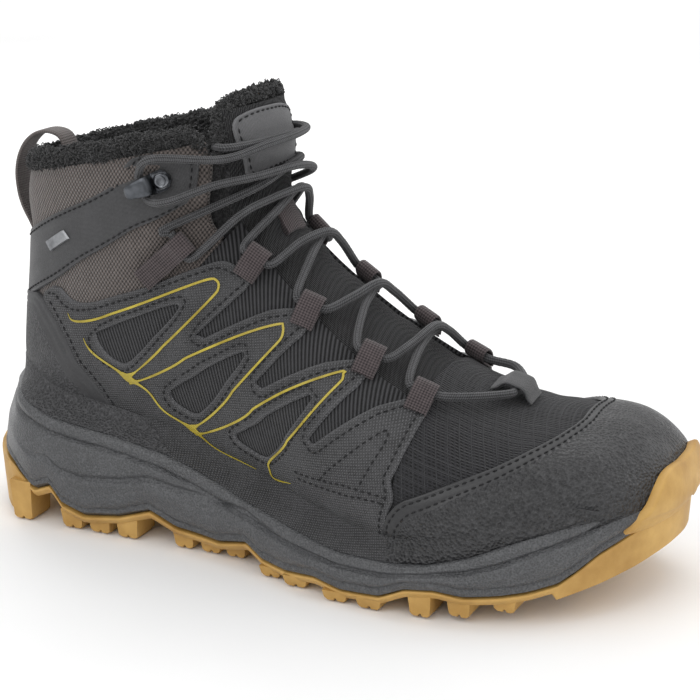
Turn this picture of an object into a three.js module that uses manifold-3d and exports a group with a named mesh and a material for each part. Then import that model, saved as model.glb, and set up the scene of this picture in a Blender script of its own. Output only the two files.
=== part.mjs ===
// Mid-cut fleece-lined hiking boot, right foot, laced up.
// Work frame in millimetres: +X heel to toe, +Y to the inner (medial) side, +Z up, ground at Z = 0.
// The upper is a stack of thin layers over one lasted surface S(s, v): s runs from the toe tip,
// over the instep, up the shaft; v runs round each section from the top ridge (0) down the outer
// side (+) or inner side (-) to the bottom seam (1). Layers are offset shells of that surface.
import * as THREE from 'three';
import { mergeVertices } from 'three/addons/utils/BufferGeometryUtils.js';
import Module from 'manifold-3d';

const wasm = await Module();
wasm.setup();

// ---------- driving dimensions ----------
const ORIGIN = [137.52, -6.15, 0];          // work-frame point that becomes the part's origin
const GAP = 0.35;                          // clearance between touching pieces
const LAYER = {                            // offsets from the lasted surface, inner then outer
  lining: [-5.8, -3.1], stiffener: [-2.8, -1.8], textile: [-1.5, 0], overlay: [0.3, 1.5],
};
const SOLE_CLEAR = 1.9;                    // cup of the midsole, outside every overlay
const BUMPER = [1.9, 5.2];                 // toe wrap of the outsole
const LACE_R = 1.6;
const LACE_SIDES = 6;
const LOOP_W = 9;                          // width of a webbing lace loop
const TONGUE_PIVOT = [115.5, 131.0];       // x, z of the tongue's bend
const TONGUE_RANGE = 22;                    // degrees the tongue's upper half folds forward
const PULL_SWING = 20;                      // degrees the heel loop swings to either side
const PULL_W = 10;                         // width of the heel pull loop's webbing

// station: top ridge x z y, bottom (or back) seam x z y, outer and inner half width,
// height fraction of the widest point, roundness above and below it
const STATIONS = [
  [278.5, 40, 6, 278.5, 39, 6, 1.0, 1.0, .60, 2.0, 2.2],
  [276.0, 50, 6, 277, 37, 6, 17, 16, .60, 2.0, 2.3],
  [269.0, 58, 5, 270, 32, 5, 30, 27.5, .62, 2.0, 2.5],
  [257.0, 63.5, 4, 257, 27, 4, 42, 38, .64, 2.0, 2.6],
  [240.0, 65, 2, 240, 22, 1, 49, 44, .66, 2.0, 2.7],
  [221.0, 66.5, 0, 221, 18.5, -2, 53, 46.5, .66, 2.0, 2.7],
  [201.0, 73, -2, 201, 16.5, -4, 54, 47, .66, 2.0, 2.7],
  [181.0, 83, -3, 180, 17.5, -5, 51.5, 46, .65, 2.0, 2.7],
  [161.0, 95.5, -3, 156, 20, -4, 46.5, 43.5, .62, 2.0, 2.7],
  [144.0, 108, -2, 130, 25, -2, 41.5, 40.5, .58, 2.0, 2.6],
  [132.0, 119, -1, 102, 30, -1, 38, 38, .55, 2.0, 2.5],
  [124.5, 129, 0, 72, 33, 0, 37, 37, .53, 2.0, 2.4],
  [120.5, 137, 0, 42, 36, 0, 37, 37, .52, 2.0, 2.3],
  [119.0, 142, 0, 14.5, 41, 0, 37, 37, .52, 2.1, 2.2],
  [118.5, 146.5, 0, 6.5, 57, 0, 37, 37, .52, 2.2, 2.1],
  [118.5, 150.5, 0, 8.0, 80, 0, 37, 37, .52, 2.3, 2.1],
  [118.5, 154, 0, 10.5, 102, 0, 36.5, 36.5, .52, 2.4, 2.1],
  [118.0, 157.5, 0, 12.3, 122, 0, 36, 36, .52, 2.4, 2.1],
  [117.0, 161, 0, 13.2, 139.5, 0, 36, 36, .52, 2.4, 2.15],
  [115.0, 172.5, 0, 13.8, 150, 0, 36.5, 36.5, .52, 2.4, 2.2],
];
const NS = STATIONS.length;

// ---------- lasted surface ----------
function station(s) {
  s = Math.min(Math.max(s, 0), NS - 1 - 1e-9);
  const i = Math.floor(s), f = s - i, S = STATIONS;
  const p1 = S[i], p2 = S[Math.min(i + 1, NS - 1)];
  const p0 = i === 0 ? p1.map((a, k) => 2 * a - p2[k]) : S[i - 1];
  const p3 = i >= NS - 2 ? p2.map((a, k) => 2 * a - p1[k]) : S[i + 2];
  return p1.map((_, k) => 0.5 * (2 * p1[k] + (p2[k] - p0[k]) * f
    + (2 * p0[k] - 5 * p1[k] + 4 * p2[k] - p3[k]) * f * f
    + (-p0[k] + 3 * p1[k] - 3 * p2[k] + p3[k]) * f * f * f));
}
function wrapV(v) { return ((v + 1) % 2 + 2) % 2 - 1; }
function surf(s, v) {
  v = wrapV(v);
  const [Tx, Tz, Ty, Bx, Bz, By, wl, wm, tc, nT, nB] = station(s);
  const th = Math.PI * Math.min(Math.abs(v), 1), c = Math.cos(th), si = Math.max(Math.sin(th), 0);
  const n = c >= 0 ? nT : nB, k = Math.pow(Math.abs(c), 2 / n);
  const t = c >= 0 ? tc * (1 - k) : tc + (1 - tc) * k;
  const h = Math.pow(si, 2 / n), w = v >= 0 ? -wl : wm;
  return new THREE.Vector3(Tx + (Bx - Tx) * t, Ty + (By - Ty) * t + w * h, Tz + (Bz - Tz) * t);
}
function surfNormal(s, v) {
  const e = 4e-3, s2 = Math.min(Math.max(s, 0.05), NS - 1.05);
  const a = surf(s2 + e * 2, v).sub(surf(s2 - e * 2, v));
  const b = surf(s2, v + e).sub(surf(s2, v - e));
  return a.cross(b).normalize();
}
// the surface is faceted on one shared lattice, so all layers stay parallel
const GS = [0.02, 0.45, 1, 1.8, 3, 4, 5, 6.5, 8, 9, 10, 11, 12, 13, 13.6, 14.5, 16, 18, 19];
const HV = [0, 0.125, 0.1875, 0.25, 0.3125, 0.4062, 0.5, 0.62, 0.72, 0.8125, 0.9];
const GV = [...HV, 1, ...HV.slice(1).reverse().map((v) => 2 - v)];   // 0 up to, not with, 2
const NV = GV.length;
const lineV = (j) => GV[((j % NV) + NV) % NV] + 2 * Math.floor(j / NV);
const lattice = new Map();
function node(i, j) {
  const jj = ((j % NV) + NV) % NV, key = i * 1000 + jj;
  if (!lattice.has(key)) {
    const s = GS[i], v = wrapV(GV[jj]);
    lattice.set(key, [surf(s, v), surfNormal(s, v)]);
  }
  return lattice.get(key);
}
function cellV(v) {
  let j = Math.floor(v / 2) * NV;
  while (lineV(j + 1) <= v + 1e-9) j++;
  return j;
}
function onLayer(s, v, off) {
  let i = 0;
  while (i < GS.length - 2 && GS[i + 1] <= s + 1e-9) i++;
  const f = (s - GS[i]) / (GS[i + 1] - GS[i]), j = cellV(v), g = (v - lineV(j)) / (lineV(j + 1) - lineV(j));
  const mix = (k) => {
    const a = node(i, j)[k].clone().lerp(node(i, j + 1)[k], g);
    const b = node(i + 1, j)[k].clone().lerp(node(i + 1, j + 1)[k], g);
    return a.lerp(b, f);
  };
  const p = mix(0), n = mix(1).normalize();
  return p.addScaledVector(n, off);
}

// ---------- mesh and solid helpers ----------
function solid(pos, tri) {
  let vol = 0;
  for (const [a, b, c] of tri) {
    const A = pos[a], B = pos[b], C = pos[c];
    vol += A.dot(B.clone().cross(C));
  }
  const vp = new Float32Array(pos.length * 3);
  pos.forEach((p, i) => p.toArray(vp, i * 3));
  const tv = new Uint32Array(tri.length * 3);
  tri.forEach((t, i) => tv.set(vol < 0 ? [t[0], t[2], t[1]] : t, i * 3));
  const g = new THREE.BufferGeometry();
  g.setAttribute('position', new THREE.BufferAttribute(vp, 3));
  g.setIndex(new THREE.BufferAttribute(tv, 1));
  return fromGeometry(g);
}
function fromGeometry(g) {
  g = g.clone();
  g.deleteAttribute('normal');
  g.deleteAttribute('uv');
  if (!g.index) g.setIndex([...Array(g.attributes.position.count).keys()]);
  const m = mergeVertices(g, 1e-4);
  return new wasm.Manifold(new wasm.Mesh({
    numProp: 3,
    vertProperties: new Float32Array(m.attributes.position.array),
    triVerts: new Uint32Array(m.index.array),
  }));
}
function toGeometry(man) {
  const m = man.getMesh();
  const p = new Float32Array(m.numVert * 3);
  for (let i = 0; i < m.numVert; i++) for (let k = 0; k < 3; k++) p[i * 3 + k] = m.vertProperties[i * m.numProp + k];
  const g = new THREE.BufferGeometry();
  g.setAttribute('position', new THREE.BufferAttribute(p, 3));
  g.setIndex(new THREE.BufferAttribute(new Uint32Array(m.triVerts), 1));
  g.computeVertexNormals();
  return g;
}
// closed loft through rings of equal length; ring ends are capped
function loftRings(rings) {
  const pos = [], tri = [], n = rings[0].length;
  rings.forEach((r) => r.forEach((p) => pos.push(p)));
  for (let i = 0; i < rings.length - 1; i++) {
    for (let j = 0; j < n; j++) {
      const a = i * n + j, b = i * n + (j + 1) % n, c = a + n, d = b + n;
      tri.push([a, b, d], [a, d, c]);
    }
  }
  for (let j = 1; j < n - 1; j++) {
    tri.push([0, j + 1, j]);
    const o = (rings.length - 1) * n;
    tri.push([o, o + j, o + j + 1]);
  }
  return solid(pos, tri);
}
// curved plate between two offsets over a patch of the lasted surface
function steps(list, a, b) { return [a, ...list.filter((x) => x > a + 1e-6 && x < b - 1e-6), b]; }
function shell(s0, s1, v0, v1, [o0, o1]) {
  const S = steps(GS, s0, s1), closed = v1 - v0 > 2 - 1e-6;
  const vs = [];
  for (let k = cellV(v0); lineV(k) <= v1 + 1e-9; k++) vs.push(lineV(k));
  let V = [v0, ...vs.filter((x) => x > v0 + 1e-6 && x < v1 - 1e-6), v1];
  if (closed) V = V.slice(0, -1);
  const pos = [], tri = [], nv = V.length, ns = S.length;
  for (const o of [o0, o1]) for (const s of S) for (const v of V) pos.push(onLayer(s, v, o));
  const id = (l, i, j) => l * ns * nv + i * nv + ((j % nv) + nv) % nv;
  const quad = (a, b, c, d) => tri.push([a, b, c], [a, c, d]);
  const m = closed ? nv : nv - 1;
  for (let i = 0; i < ns - 1; i++) {
    for (let j = 0; j < m; j++) {
      quad(id(0, i, j), id(0, i, j + 1), id(0, i + 1, j + 1), id(0, i + 1, j));
      const a = id(1, i, j), b = id(1, i, j + 1), c = id(1, i + 1, j + 1), d = id(1, i + 1, j);
      tri.push([a, c, b], [a, d, c]);
    }
  }
  for (let j = 0; j < m; j++) {
    quad(id(0, 0, j), id(1, 0, j), id(1, 0, j + 1), id(0, 0, j + 1));
    quad(id(0, ns - 1, j), id(0, ns - 1, j + 1), id(1, ns - 1, j + 1), id(1, ns - 1, j));
  }
  if (!closed) {
    for (let i = 0; i < ns - 1; i++) {
      quad(id(0, i, 0), id(0, i + 1, 0), id(1, i + 1, 0), id(1, i, 0));
      quad(id(0, i, nv - 1), id(1, i, nv - 1), id(1, i + 1, nv - 1), id(0, i + 1, nv - 1));
    }
  }
  return solid(pos, tri);
}
// solid body inside an offset of the lasted surface, closed at both ends
function core(s0, s1, off) {
  const S = steps(GS, s0, s1), rings = [];
  for (const s of S) {
    const r = [];
    for (let k = 0; k < NV; k++) r.push(onLayer(s, lineV(k), off));
    rings.push(r);
  }
  return loftRings(rings);
}
// prism over a side-view outline (x, z), between two y values
function prism(pts, y0, y1) {
  const sh = new THREE.Shape(pts.map(([x, z]) => new THREE.Vector2(x, z)));
  const g = new THREE.ExtrudeGeometry(sh, { depth: y1 - y0, bevelEnabled: false, steps: 1 });
  g.rotateX(Math.PI / 2);                  // (x, z, d) -> (x, -d, z)
  g.translate(0, y1, 0);
  return fromGeometry(g);
}
function box(x0, x1, y0, y1, z0, z1) {
  const g = new THREE.BoxGeometry(x1 - x0, y1 - y0, z1 - z0);
  g.translate((x0 + x1) / 2, (y0 + y1) / 2, (z0 + z1) / 2);
  return fromGeometry(g);
}
function cylY(x, z, r, y0, y1, n = 24) {
  const g = new THREE.CylinderGeometry(r, r, y1 - y0, n);
  g.translate(x, (y0 + y1) / 2, z);
  return fromGeometry(g);
}
function union(list) { return list.reduce((a, b) => a.add(b)); }
// outline given in surface coordinates, on the outer (+1) or inner (-1) side
const sideView = (pts, side) => pts.map(([s, v]) => { const p = surf(s, side * v); return [p.x, p.z]; });
const half = (side) => (side > 0 ? [-95, -2] : [-2, 95]);
function sidePrism(pts, side) { return prism(pts, ...half(side)); }
// tube of round section along points
function tube(pts, r, n, stepsCount) {
  const c = new THREE.CatmullRomCurve3(pts, false, 'centripetal');
  const rings = [], fr = c.computeFrenetFrames(stepsCount, false);
  for (let i = 0; i <= stepsCount; i++) {
    const p = c.getPointAt(i / stepsCount), ring = [];
    for (let k = 0; k < n; k++) {
      const a = 2 * Math.PI * k / n;
      ring.push(p.clone().addScaledVector(fr.normals[i], r * Math.cos(a)).addScaledVector(fr.binormals[i], r * Math.sin(a)));
    }
    rings.push(ring);
  }
  return loftRings(rings);
}
// flat band along a path in the XZ plane: width along Y
function bandY(pts, thick, y0, y1) {
  const out = [], inn = [];
  for (let i = 0; i < pts.length; i++) {
    const a = pts[Math.max(i - 1, 0)], b = pts[Math.min(i + 1, pts.length - 1)];
    const d = new THREE.Vector2(b[0] - a[0], b[1] - a[1]).normalize();
    out.push([pts[i][0] - d.y * thick / 2, pts[i][1] + d.x * thick / 2]);
    inn.push([pts[i][0] + d.y * thick / 2, pts[i][1] - d.x * thick / 2]);
  }
  return prism([...out, ...inn.reverse()], y0, y1);
}

// ---------- parts list ----------
const boot = new THREE.Group();
const part = (name, man, color, roughness = 0.85, metalness = 0) => {
  const m = new THREE.Mesh(toGeometry(man), new THREE.MeshStandardMaterial({ color, roughness, metalness }));
  m.name = name;
  boot.add(m);
  return man;
};

// ---------- sole unit ----------
// plan outline: x, outer half, inner half about the centre line
const PLAN = [
  [-9.8, 0, 0, 0], [-8.6, -11, 11, 0], [-4.5, -21.5, 21.5, 0], [3, -31, 31, 0], [14, -38.5, 38, 0], [28, -42.5, 41.5, 0],
  [46, -43.5, 42, 0], [66, -42.5, 40, 0], [86, -42, 37.5, 0], [106, -43.5, 37.5, 0], [126, -48, 40.5, 0],
  [146, -54.5, 45, 0], [166, -60.5, 48, 0], [186, -62.8, 49.5, 0], [206, -62.2, 50.5, 0], [224, -59, 50, 0],
  [241, -52.5, 47.5, 0], [255, -43.5, 42.5, 0], [266, -33, 36.5, 0], [275, -20.5, 28.5, 0], [280.5, -8, 19, 0], [282.5, 5, 8, 0],
];
const lerpTable = (tab, x) => {
  if (x <= tab[0][0]) return tab[0][1];
  for (let i = 1; i < tab.length; i++) {
    if (x <= tab[i][0]) {
      const [a, p] = tab[i - 1], [b, q] = tab[i];
      return p + (q - p) * (x - a) / (b - a);
    }
  }
  return tab[tab.length - 1][1];
};
const RIM = [[-12, 55.5], [0, 55], [12, 54], [24, 50.5], [36, 46.5], [62, 43], [86, 38.5], [102, 34], [123, 27.5], [149, 22.5], [170, 19.5], [192, 19.5],
  [206, 21], [222, 25.5], [240, 33], [251, 37], [265, 43], [285, 49]];
const FOOT = [[-12, 29], [0, 24], [13, 22], [25, 14.5], [34, 18], [40, 10.5], [50, 7.5], [66, 9.5], [80, 14], [92, 9], [112, 7.5], [126, 11], [134, 6.5],
  [146, 5.5], [160, 7.5], [172, 5.5], [188, 6.5], [198, 11], [209, 12], [219, 10.5], [232, 11.5], [241, 13], [250, 15.5], [256, 20], [262, 25.5], [270, 30.5], [285, 40]];
const SPRING = [[-12, 12], [-4, 4], [6, 0], [200, 0], [212, 1], [224, 2.5], [236, 4.8], [250, 8.5], [262, 12.5], [272, 16.5], [284, 22.5]];
const rimZ = (x) => lerpTable(RIM, x), footZ = (x) => lerpTable(FOOT, x), springZ = (x) => lerpTable(SPRING, x);

const heelIn = (x) => { const u = Math.min(Math.max((26 - x) / 30, 0), 1); return u * u * (3 - 2 * u); };
function outline(inset, atHeel = 0) {
  const lat = PLAN.map(([x, a]) => [x, a]), med = PLAN.map(([x, , b]) => [x, b]);
  const ring = [...lat, ...med.slice(1, -1).reverse()];
  const n = ring.length;
  return ring.map((p, i) => {
    const a = ring[(i + n - 1) % n], b = ring[(i + 1) % n];
    const d = new THREE.Vector2(b[0] - a[0], b[1] - a[1]).normalize();
    const w = inset + atHeel * heelIn(p[0]);
    return [p[0] - d.y * w, p[1] + d.x * w];
  });
}
// stack of plan outlines; level = [inset, height function, extra inset round the heel]
function soleBody(levels) {
  const rings = levels.map(([inset, z, heel = 0]) => outline(inset, heel).map(([x, y]) => new THREE.Vector3(x, y, z(x, y))));
  const n = rings[0].length, m = PLAN.length, pos = rings.flat(), tri = [];
  for (let k = 0; k < rings.length - 1; k++) {
    for (let j = 0; j < n; j++) {
      const a = k * n + j, b = k * n + (j + 1) % n;
      tri.push([a, b, b + n], [a, b + n, a + n]);
    }
  }
  const top = (rings.length - 1) * n, pair = (i) => (i === 0 ? 0 : i === m - 1 ? m - 1 : n - i);
  for (let i = 0; i < m - 1; i++) {
    for (const [o, flip] of [[0, false], [top, true]]) {
      const a = o + i, b = o + i + 1, c = o + pair(i + 1), d = o + pair(i);
      const t = [];
      if (b !== c) t.push([a, c, b]);
      if (a !== d) t.push([a, d, c]);
      t.forEach((q) => tri.push(flip ? [q[0], q[2], q[1]] : q));
    }
  }
  return solid(pos, tri);
}

const envelope = core(0.02, 19, SOLE_CLEAR);
const bumperOutline = [[279.5, 56], [275.7, 50.6], [273.5, 49.2], [272.8, 46], [271.4, 40.4], [266.5, 32], [258, 23.5], [246, 15.5], [246, 0], [300, 0], [300, 56]];
const bumperShell = shell(0.02, 4, -1, 1, BUMPER).intersect(prism(bumperOutline, -60, 60));
const bumperRoom = core(0.02, 5, BUMPER[1] + GAP).intersect(prism([[279.5, 60], [275.2, 51.2], [273.1, 49.6], [272.3, 46], [270.9, 40.4], [266, 32.3], [257.6, 23.9], [245.6, 15.9], [245.6, 0], [300, 0], [300, 60]], -60, 60));

const midsoleLevels = (dz) => [
  [3.0, (x) => footZ(x) + dz, 1.0],
  [0.8, (x) => footZ(x) + 1.2 + dz, 2.2],
  [-0.6, (x) => footZ(x) + 0.42 * (rimZ(x) - footZ(x)) + dz, 5.5],
  [0.6, (x) => footZ(x) + 0.72 * (rimZ(x) - footZ(x)) + dz, 7.5],
  [2.0, (x) => rimZ(x) - 0.6 + dz, 9.0],
  [3.2, (x) => rimZ(x) + dz, 9.3],
];
let midsole = soleBody(midsoleLevels(0));
midsole = midsole.subtract(envelope).subtract(bumperRoom).decompose().sort((p, q) => q.volume() - p.volume())[0];

const SLAB = 3.2;
let outsole = soleBody([
  [3.4, (x) => (x > 250 || x < 20 ? springZ(x) + 0.6 : Math.max(footZ(x) - GAP - SLAB, springZ(x) + 0.6))],
  [1.2, (x) => footZ(x) - GAP - 1.0],
  [1.8, (x) => footZ(x) - GAP],
]);
// ground lugs: [x0, x1, y0, y1], each a tapered block down to the ground or the toe spring
const LUGS = [];
for (const [x0, x1] of [[14, 23], [38, 47], [51, 60], [64, 73]]) LUGS.push([x0, x1, -39.5, -26], [x0, x1, 25.5, 38.5]);
for (const [x0, x1] of [[20, 30], [40, 50], [58, 68]]) LUGS.push([x0, x1, -15, 15]);
for (const [x0, x1] of [[90, 98], [102, 110], [113, 121]]) LUGS.push([x0, x1, -39, -27], [x0, x1, 22, 35]);
for (const [x0, x1, w] of [[134, 142, -50], [146, 155, -54], [165, 174, -59.5], [179, 188, -60.5]]) LUGS.push([x0, x1, w, w + 15], [x0, x1, 30.5, 45.5]);
for (const [x0, x1, w] of [[199, 207, -59.5], [213, 221, -57], [228, 236, -51.5]]) LUGS.push([x0, x1, w, w + 14], [x0, x1, 32, 46]);
for (const [x0, x1] of [[138, 149], [159, 170], [181, 192], [203, 214]]) LUGS.push([x0, x1, -30, -9], [x0, x1, -3, 18]);
for (const [x0, x1] of [[243, 250]]) LUGS.push([x0, x1, -38, -16], [x0, x1, -8, 14], [x0, x1, 20, 36]);
for (const [x0, x1, y0, y1] of LUGS) {
  const xm = (x0 + x1) / 2, b = springZ(xm), t = footZ(xm) - GAP - 1.2;
  const rings = [[0.7, b], [-0.5, Math.max(t, b + 2.4)]].map(([d, z]) => [
    new THREE.Vector3(x0 + d, y0 + d, z), new THREE.Vector3(x1 - d, y0 + d, z),
    new THREE.Vector3(x1 - d, y1 - d, z), new THREE.Vector3(x0 + d, y1 - d, z)]);
  outsole = outsole.add(loftRings(rings));
}
outsole = outsole.subtract(soleBody(midsoleLevels(-GAP))).subtract(envelope).add(bumperShell);
part('outsole', outsole, 0xd2a85a, 0.7);
part('midsole', midsole, 0x26282a, 0.75);

// ---------- inner bottom ----------
part('shank', shell(6.5, 11, 0.9375, 1.0625, [0.35, 1.4]), 0x8d8f90, 0.5);
part('insole_board', shell(1, 12.98, 0.8775, 1.1225, LAYER.textile), 0xb9a98a, 0.9);
part('footbed', shell(1.5, 12.6, 0.8125, 1.1875, [-9.2, -6.15]), 0x4a4d50, 0.9);

// ---------- lining and stiffeners ----------
const slotFront = shell(6, 20 - 1.0, -0.25, 0.25, [-12, 8]);
let lining = shell(1, 18, -1, 1, LAYER.lining).subtract(slotFront);
part('lining_bootie', lining, 0x2a2a2b, 1);
part('toe_puff', shell(1, 3, -0.72, 0.72, LAYER.stiffener), 0xc9bfa6, 0.8);
part('heel_stiffener', shell(13, 15.9, 0.5625, 1.4375, LAYER.stiffener), 0xc9bfa6, 0.8);
for (const [name, side] of [['lateral', 1], ['medial', -1]]) {
  const a = side > 0 ? [0.3125, 0.99] : [-0.99, -0.3125];
  part(`collar_foam_${name}`, shell(16, 18, ...a, LAYER.stiffener), 0x77736a, 1);
}
// fleece roll over the collar edge
{
  const pts = [];
  for (let k = 0; k <= 28; k++) {
    const v = 0.2875 + (2 - 2 * 0.2875) * k / 28;
    const a = onLayer(18, v, 0), up = onLayer(18.9, v, 0).sub(a).normalize(), n = surfNormal(18, v);
    pts.push(a.clone().addScaledVector(up, 4.6).addScaledVector(n, -2.6));
  }
  part('collar_rim_fleece', tube(pts, 3.9, 8, 22), 0x2c2c2d, 1);
}

// ---------- textile panels ----------
const eps = 0.012;
let vamp = shell(0.35, 6.5 - eps, -0.875, 0.875, LAYER.textile).subtract(shell(5.6, 6.6, -0.1875, 0.1875, [-4, 4]));
part('vamp_textile', vamp, 0x3a3b3d, 0.9);
for (const [name, side] of [['lateral', 1], ['medial', -1]]) {
  const r = (a, b) => (side > 0 ? [a, b] : [-b, -a]);
  part(`quarter_textile_${name}`, shell(6.5 + eps, 12 - eps, ...r(0.1875, 0.875), LAYER.textile), 0x454143, 0.9);
  const low = shell(12 + eps, 13, ...r(0.25, 0.875), LAYER.textile), high = shell(13, 18, ...r(0.25, 0.997), LAYER.textile);
  part(`collar_textile_${name}`, low.add(high), 0x4b4644, 0.95);
}

// ---------- overlays ----------
// outlines in surface coordinates (s, v); the same pattern is used on both sides
const OV_TOP = [[14.95, .612], [14.2, .56], [13.56, .481], [12.76, .399], [12.17, .340], [11.53, .277], [10.94, .262], [10.29, .243]];
const NOTCH1 = [[11.16, .492], [9.26, .216]], NOTCH2 = [[8.59, .200], [9.62, .503], [7.84, .201]], NOTCH3 = [[7.31, .200], [8.37, .520], [6.81, .201]];
const ARM_FRONT = [[6.27, .195], [6.35, .287], [6.46, .378], [6.55, .417], [6.42, .448]];
const WINDOWS = [
  [[13.08, .533], [11.86, .409], [11.65, .411], [11.92, .550], [12.02, .571], [12.33, .568], [12.88, .543]],
  [[11.01, .577], [9.91, .405], [9.76, .402], [10.31, .602], [10.45, .616], [10.84, .607]],
  [[9.63, .596], [8.33, .359], [8.21, .359], [8.89, .583], [9.04, .615], [9.54, .621]],
];
const COUNTER = [[-30, 93.2], [10, 94.2], [16.1, 94.6], [28.5, 95.9], [38.2, 87.4], [45.5, 77.1], [54, 64.2], [61.4, 50.7], [70, 38], [74, -30], [-30, -30]];
const CAP_EDGE = [[250, 90], [245.2, 66], [244.9, 63.4], [238.9, 60.1], [227.3, 54.8], [213.2, 49.7], [202.9, 45.7], [194.3, 42.2], [190.2, 37], [187.5, 25], [187, -30]];
part('toe_cap', shell(0.35, 6.4, -0.8125, 0.8125, LAYER.overlay).intersect(prism([...CAP_EDGE, [300, -30], [300, 90]], -90, 90)), 0x2b2c2e, 0.45);
part('heel_counter', shell(11.2, 17, 0.3125, 1.6875, LAYER.overlay).intersect(prism(COUNTER, -90, 90)), 0x2f2f31, 0.7);
for (const [name, side] of [['lateral', 1], ['medial', -1]]) {
  const r = (a, b) => (side > 0 ? [a, b] : [-b, -a]);
  const sv = (p) => sideView(p, side);
  const edge = [...sv(OV_TOP), ...sv(NOTCH1), ...sv(NOTCH2), ...sv(NOTCH3), ...sv(ARM_FRONT),
    [189.7, 37.2], [187, 25], [186.5, -30], [74.8, -30], [70.6, 38.2], [62, 51.2], [54.6, 64.7], [46.1, 77.6], [38.9, 87.8]];
  let ov = shell(6, 15.4, ...r(0.1875, 0.8125), LAYER.overlay).intersect(sidePrism(edge, side));
  for (const w of WINDOWS) ov = ov.subtract(sidePrism(sv(w), side));
  ov = ov.decompose().sort((p, q) => q.volume() - p.volume())[0];
  part(`quarter_overlay_${name}`, ov, 0x454648, 0.7);
  const strap = [[-30, 93.8], [10, 94.8], [16.2, 95.2], [28.8, 96.6], [39.9, 102.4], [53.4, 111.8], [66.6, 119.4], [75.8, 125.5], [86.2, 129.8], [98.9, 137.5], [120, 149],
    [120, 157], [101.6, 154.1], [89.7, 154.4], [82.5, 154.2], [76, 152.4], [70.6, 146.7], [65.5, 139.9], [56.6, 135.3], [42.9, 129.4], [21.6, 118.1], [-30, 106]];
  let st = shell(14, 18, ...r(0.25, 0.997), LAYER.overlay).intersect(prism(strap, -90, 90));
  st = st.decompose().sort((p, q) => q.volume() - p.volume())[0];
  part(`collar_strap_${name}`, st, 0x424345, 0.6);
}

// small sewn tag on the outer side of the strap
part('side_tag', shell(15.92, 16.2, 0.595, 0.665, [1.8, 2.5]), 0x8b8d90, 0.4, 0.6);

// ---------- tongue ----------
const bend = (r) => cylY(TONGUE_PIVOT[0], TONGUE_PIVOT[1], r, -60, 60, 18);
const below = prism([[60, 60], [TONGUE_PIVOT[0] - 20, TONGUE_PIVOT[1] - 14], [TONGUE_PIVOT[0], TONGUE_PIVOT[1]], [TONGUE_PIVOT[0] + 30, TONGUE_PIVOT[1] + 10], [240, 140], [240, 40]], -60, 60);
const above = prism([[60, 60], [TONGUE_PIVOT[0] - 20, TONGUE_PIVOT[1] - 14], [TONGUE_PIVOT[0], TONGUE_PIVOT[1]], [TONGUE_PIVOT[0] + 30, TONGUE_PIVOT[1] + 10], [240, 220], [40, 220]], -60, 60);
// a solid turned about an axis through a point, by an angle in degrees
function turned(man, at, axis, deg) {
  const m = new THREE.Matrix4().makeTranslation(at[0], at[1], at[2])
    .multiply(new THREE.Matrix4().makeRotationAxis(new THREE.Vector3(...axis).normalize(), deg * Math.PI / 180))
    .multiply(new THREE.Matrix4().makeTranslation(-at[0], -at[1], -at[2]));
  return man.transform(m.elements);
}
// a fixed piece cut back along the path of a piece that turns beside it
function clearOf(fixed, moving, at, axis, from, to, step) {
  let out = fixed;
  for (let a = from; a <= to + 1e-9; a += step) out = out.subtract(turned(moving, at, axis, a));
  return out.decompose().sort((p, q) => q.volume() - p.volume())[0];
}
{
  const body = shell(11, 19, -0.1875, 0.1875, [-3.2, 1.0]);
  const knuckle = cylY(TONGUE_PIVOT[0], TONGUE_PIVOT[1], 4.0, -15, 15, 18);
  let up = body.intersect(above).subtract(prism([[90, 100], [TONGUE_PIVOT[0], TONGUE_PIVOT[1] + 0.0], [150, TONGUE_PIVOT[1] + 4], [150, 100]], -60, 60)).add(knuckle.intersect(above.add(bend(4.0))));
  up = up.decompose().sort((p, q) => q.volume() - p.volume())[0];
  const low = shell(6.2, 13, -0.1875, 0.1875, [-5.2, -1.85]).intersect(below).subtract(bend(4.4));
  const pivot = [TONGUE_PIVOT[0], 0, TONGUE_PIVOT[1]];
  part('tongue_lower', clearOf(low, up, pivot, [0, 1, 0], 0, TONGUE_RANGE + 1.5, 1.5), 0x3c3b3d, 0.95);
  part('tongue_upper', up, 0x3f3e40, 0.95);
  part('tongue_lining', shell(13, 19, -0.1875, 0.1875, [-9.5, -3.5]), 0x2b2b2c, 1);
  part('tongue_patch', shell(14.5, 18.6, -0.125, 0.1875, [1.35, 2.4]), 0x5a5b5d, 0.6);
}

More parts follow.
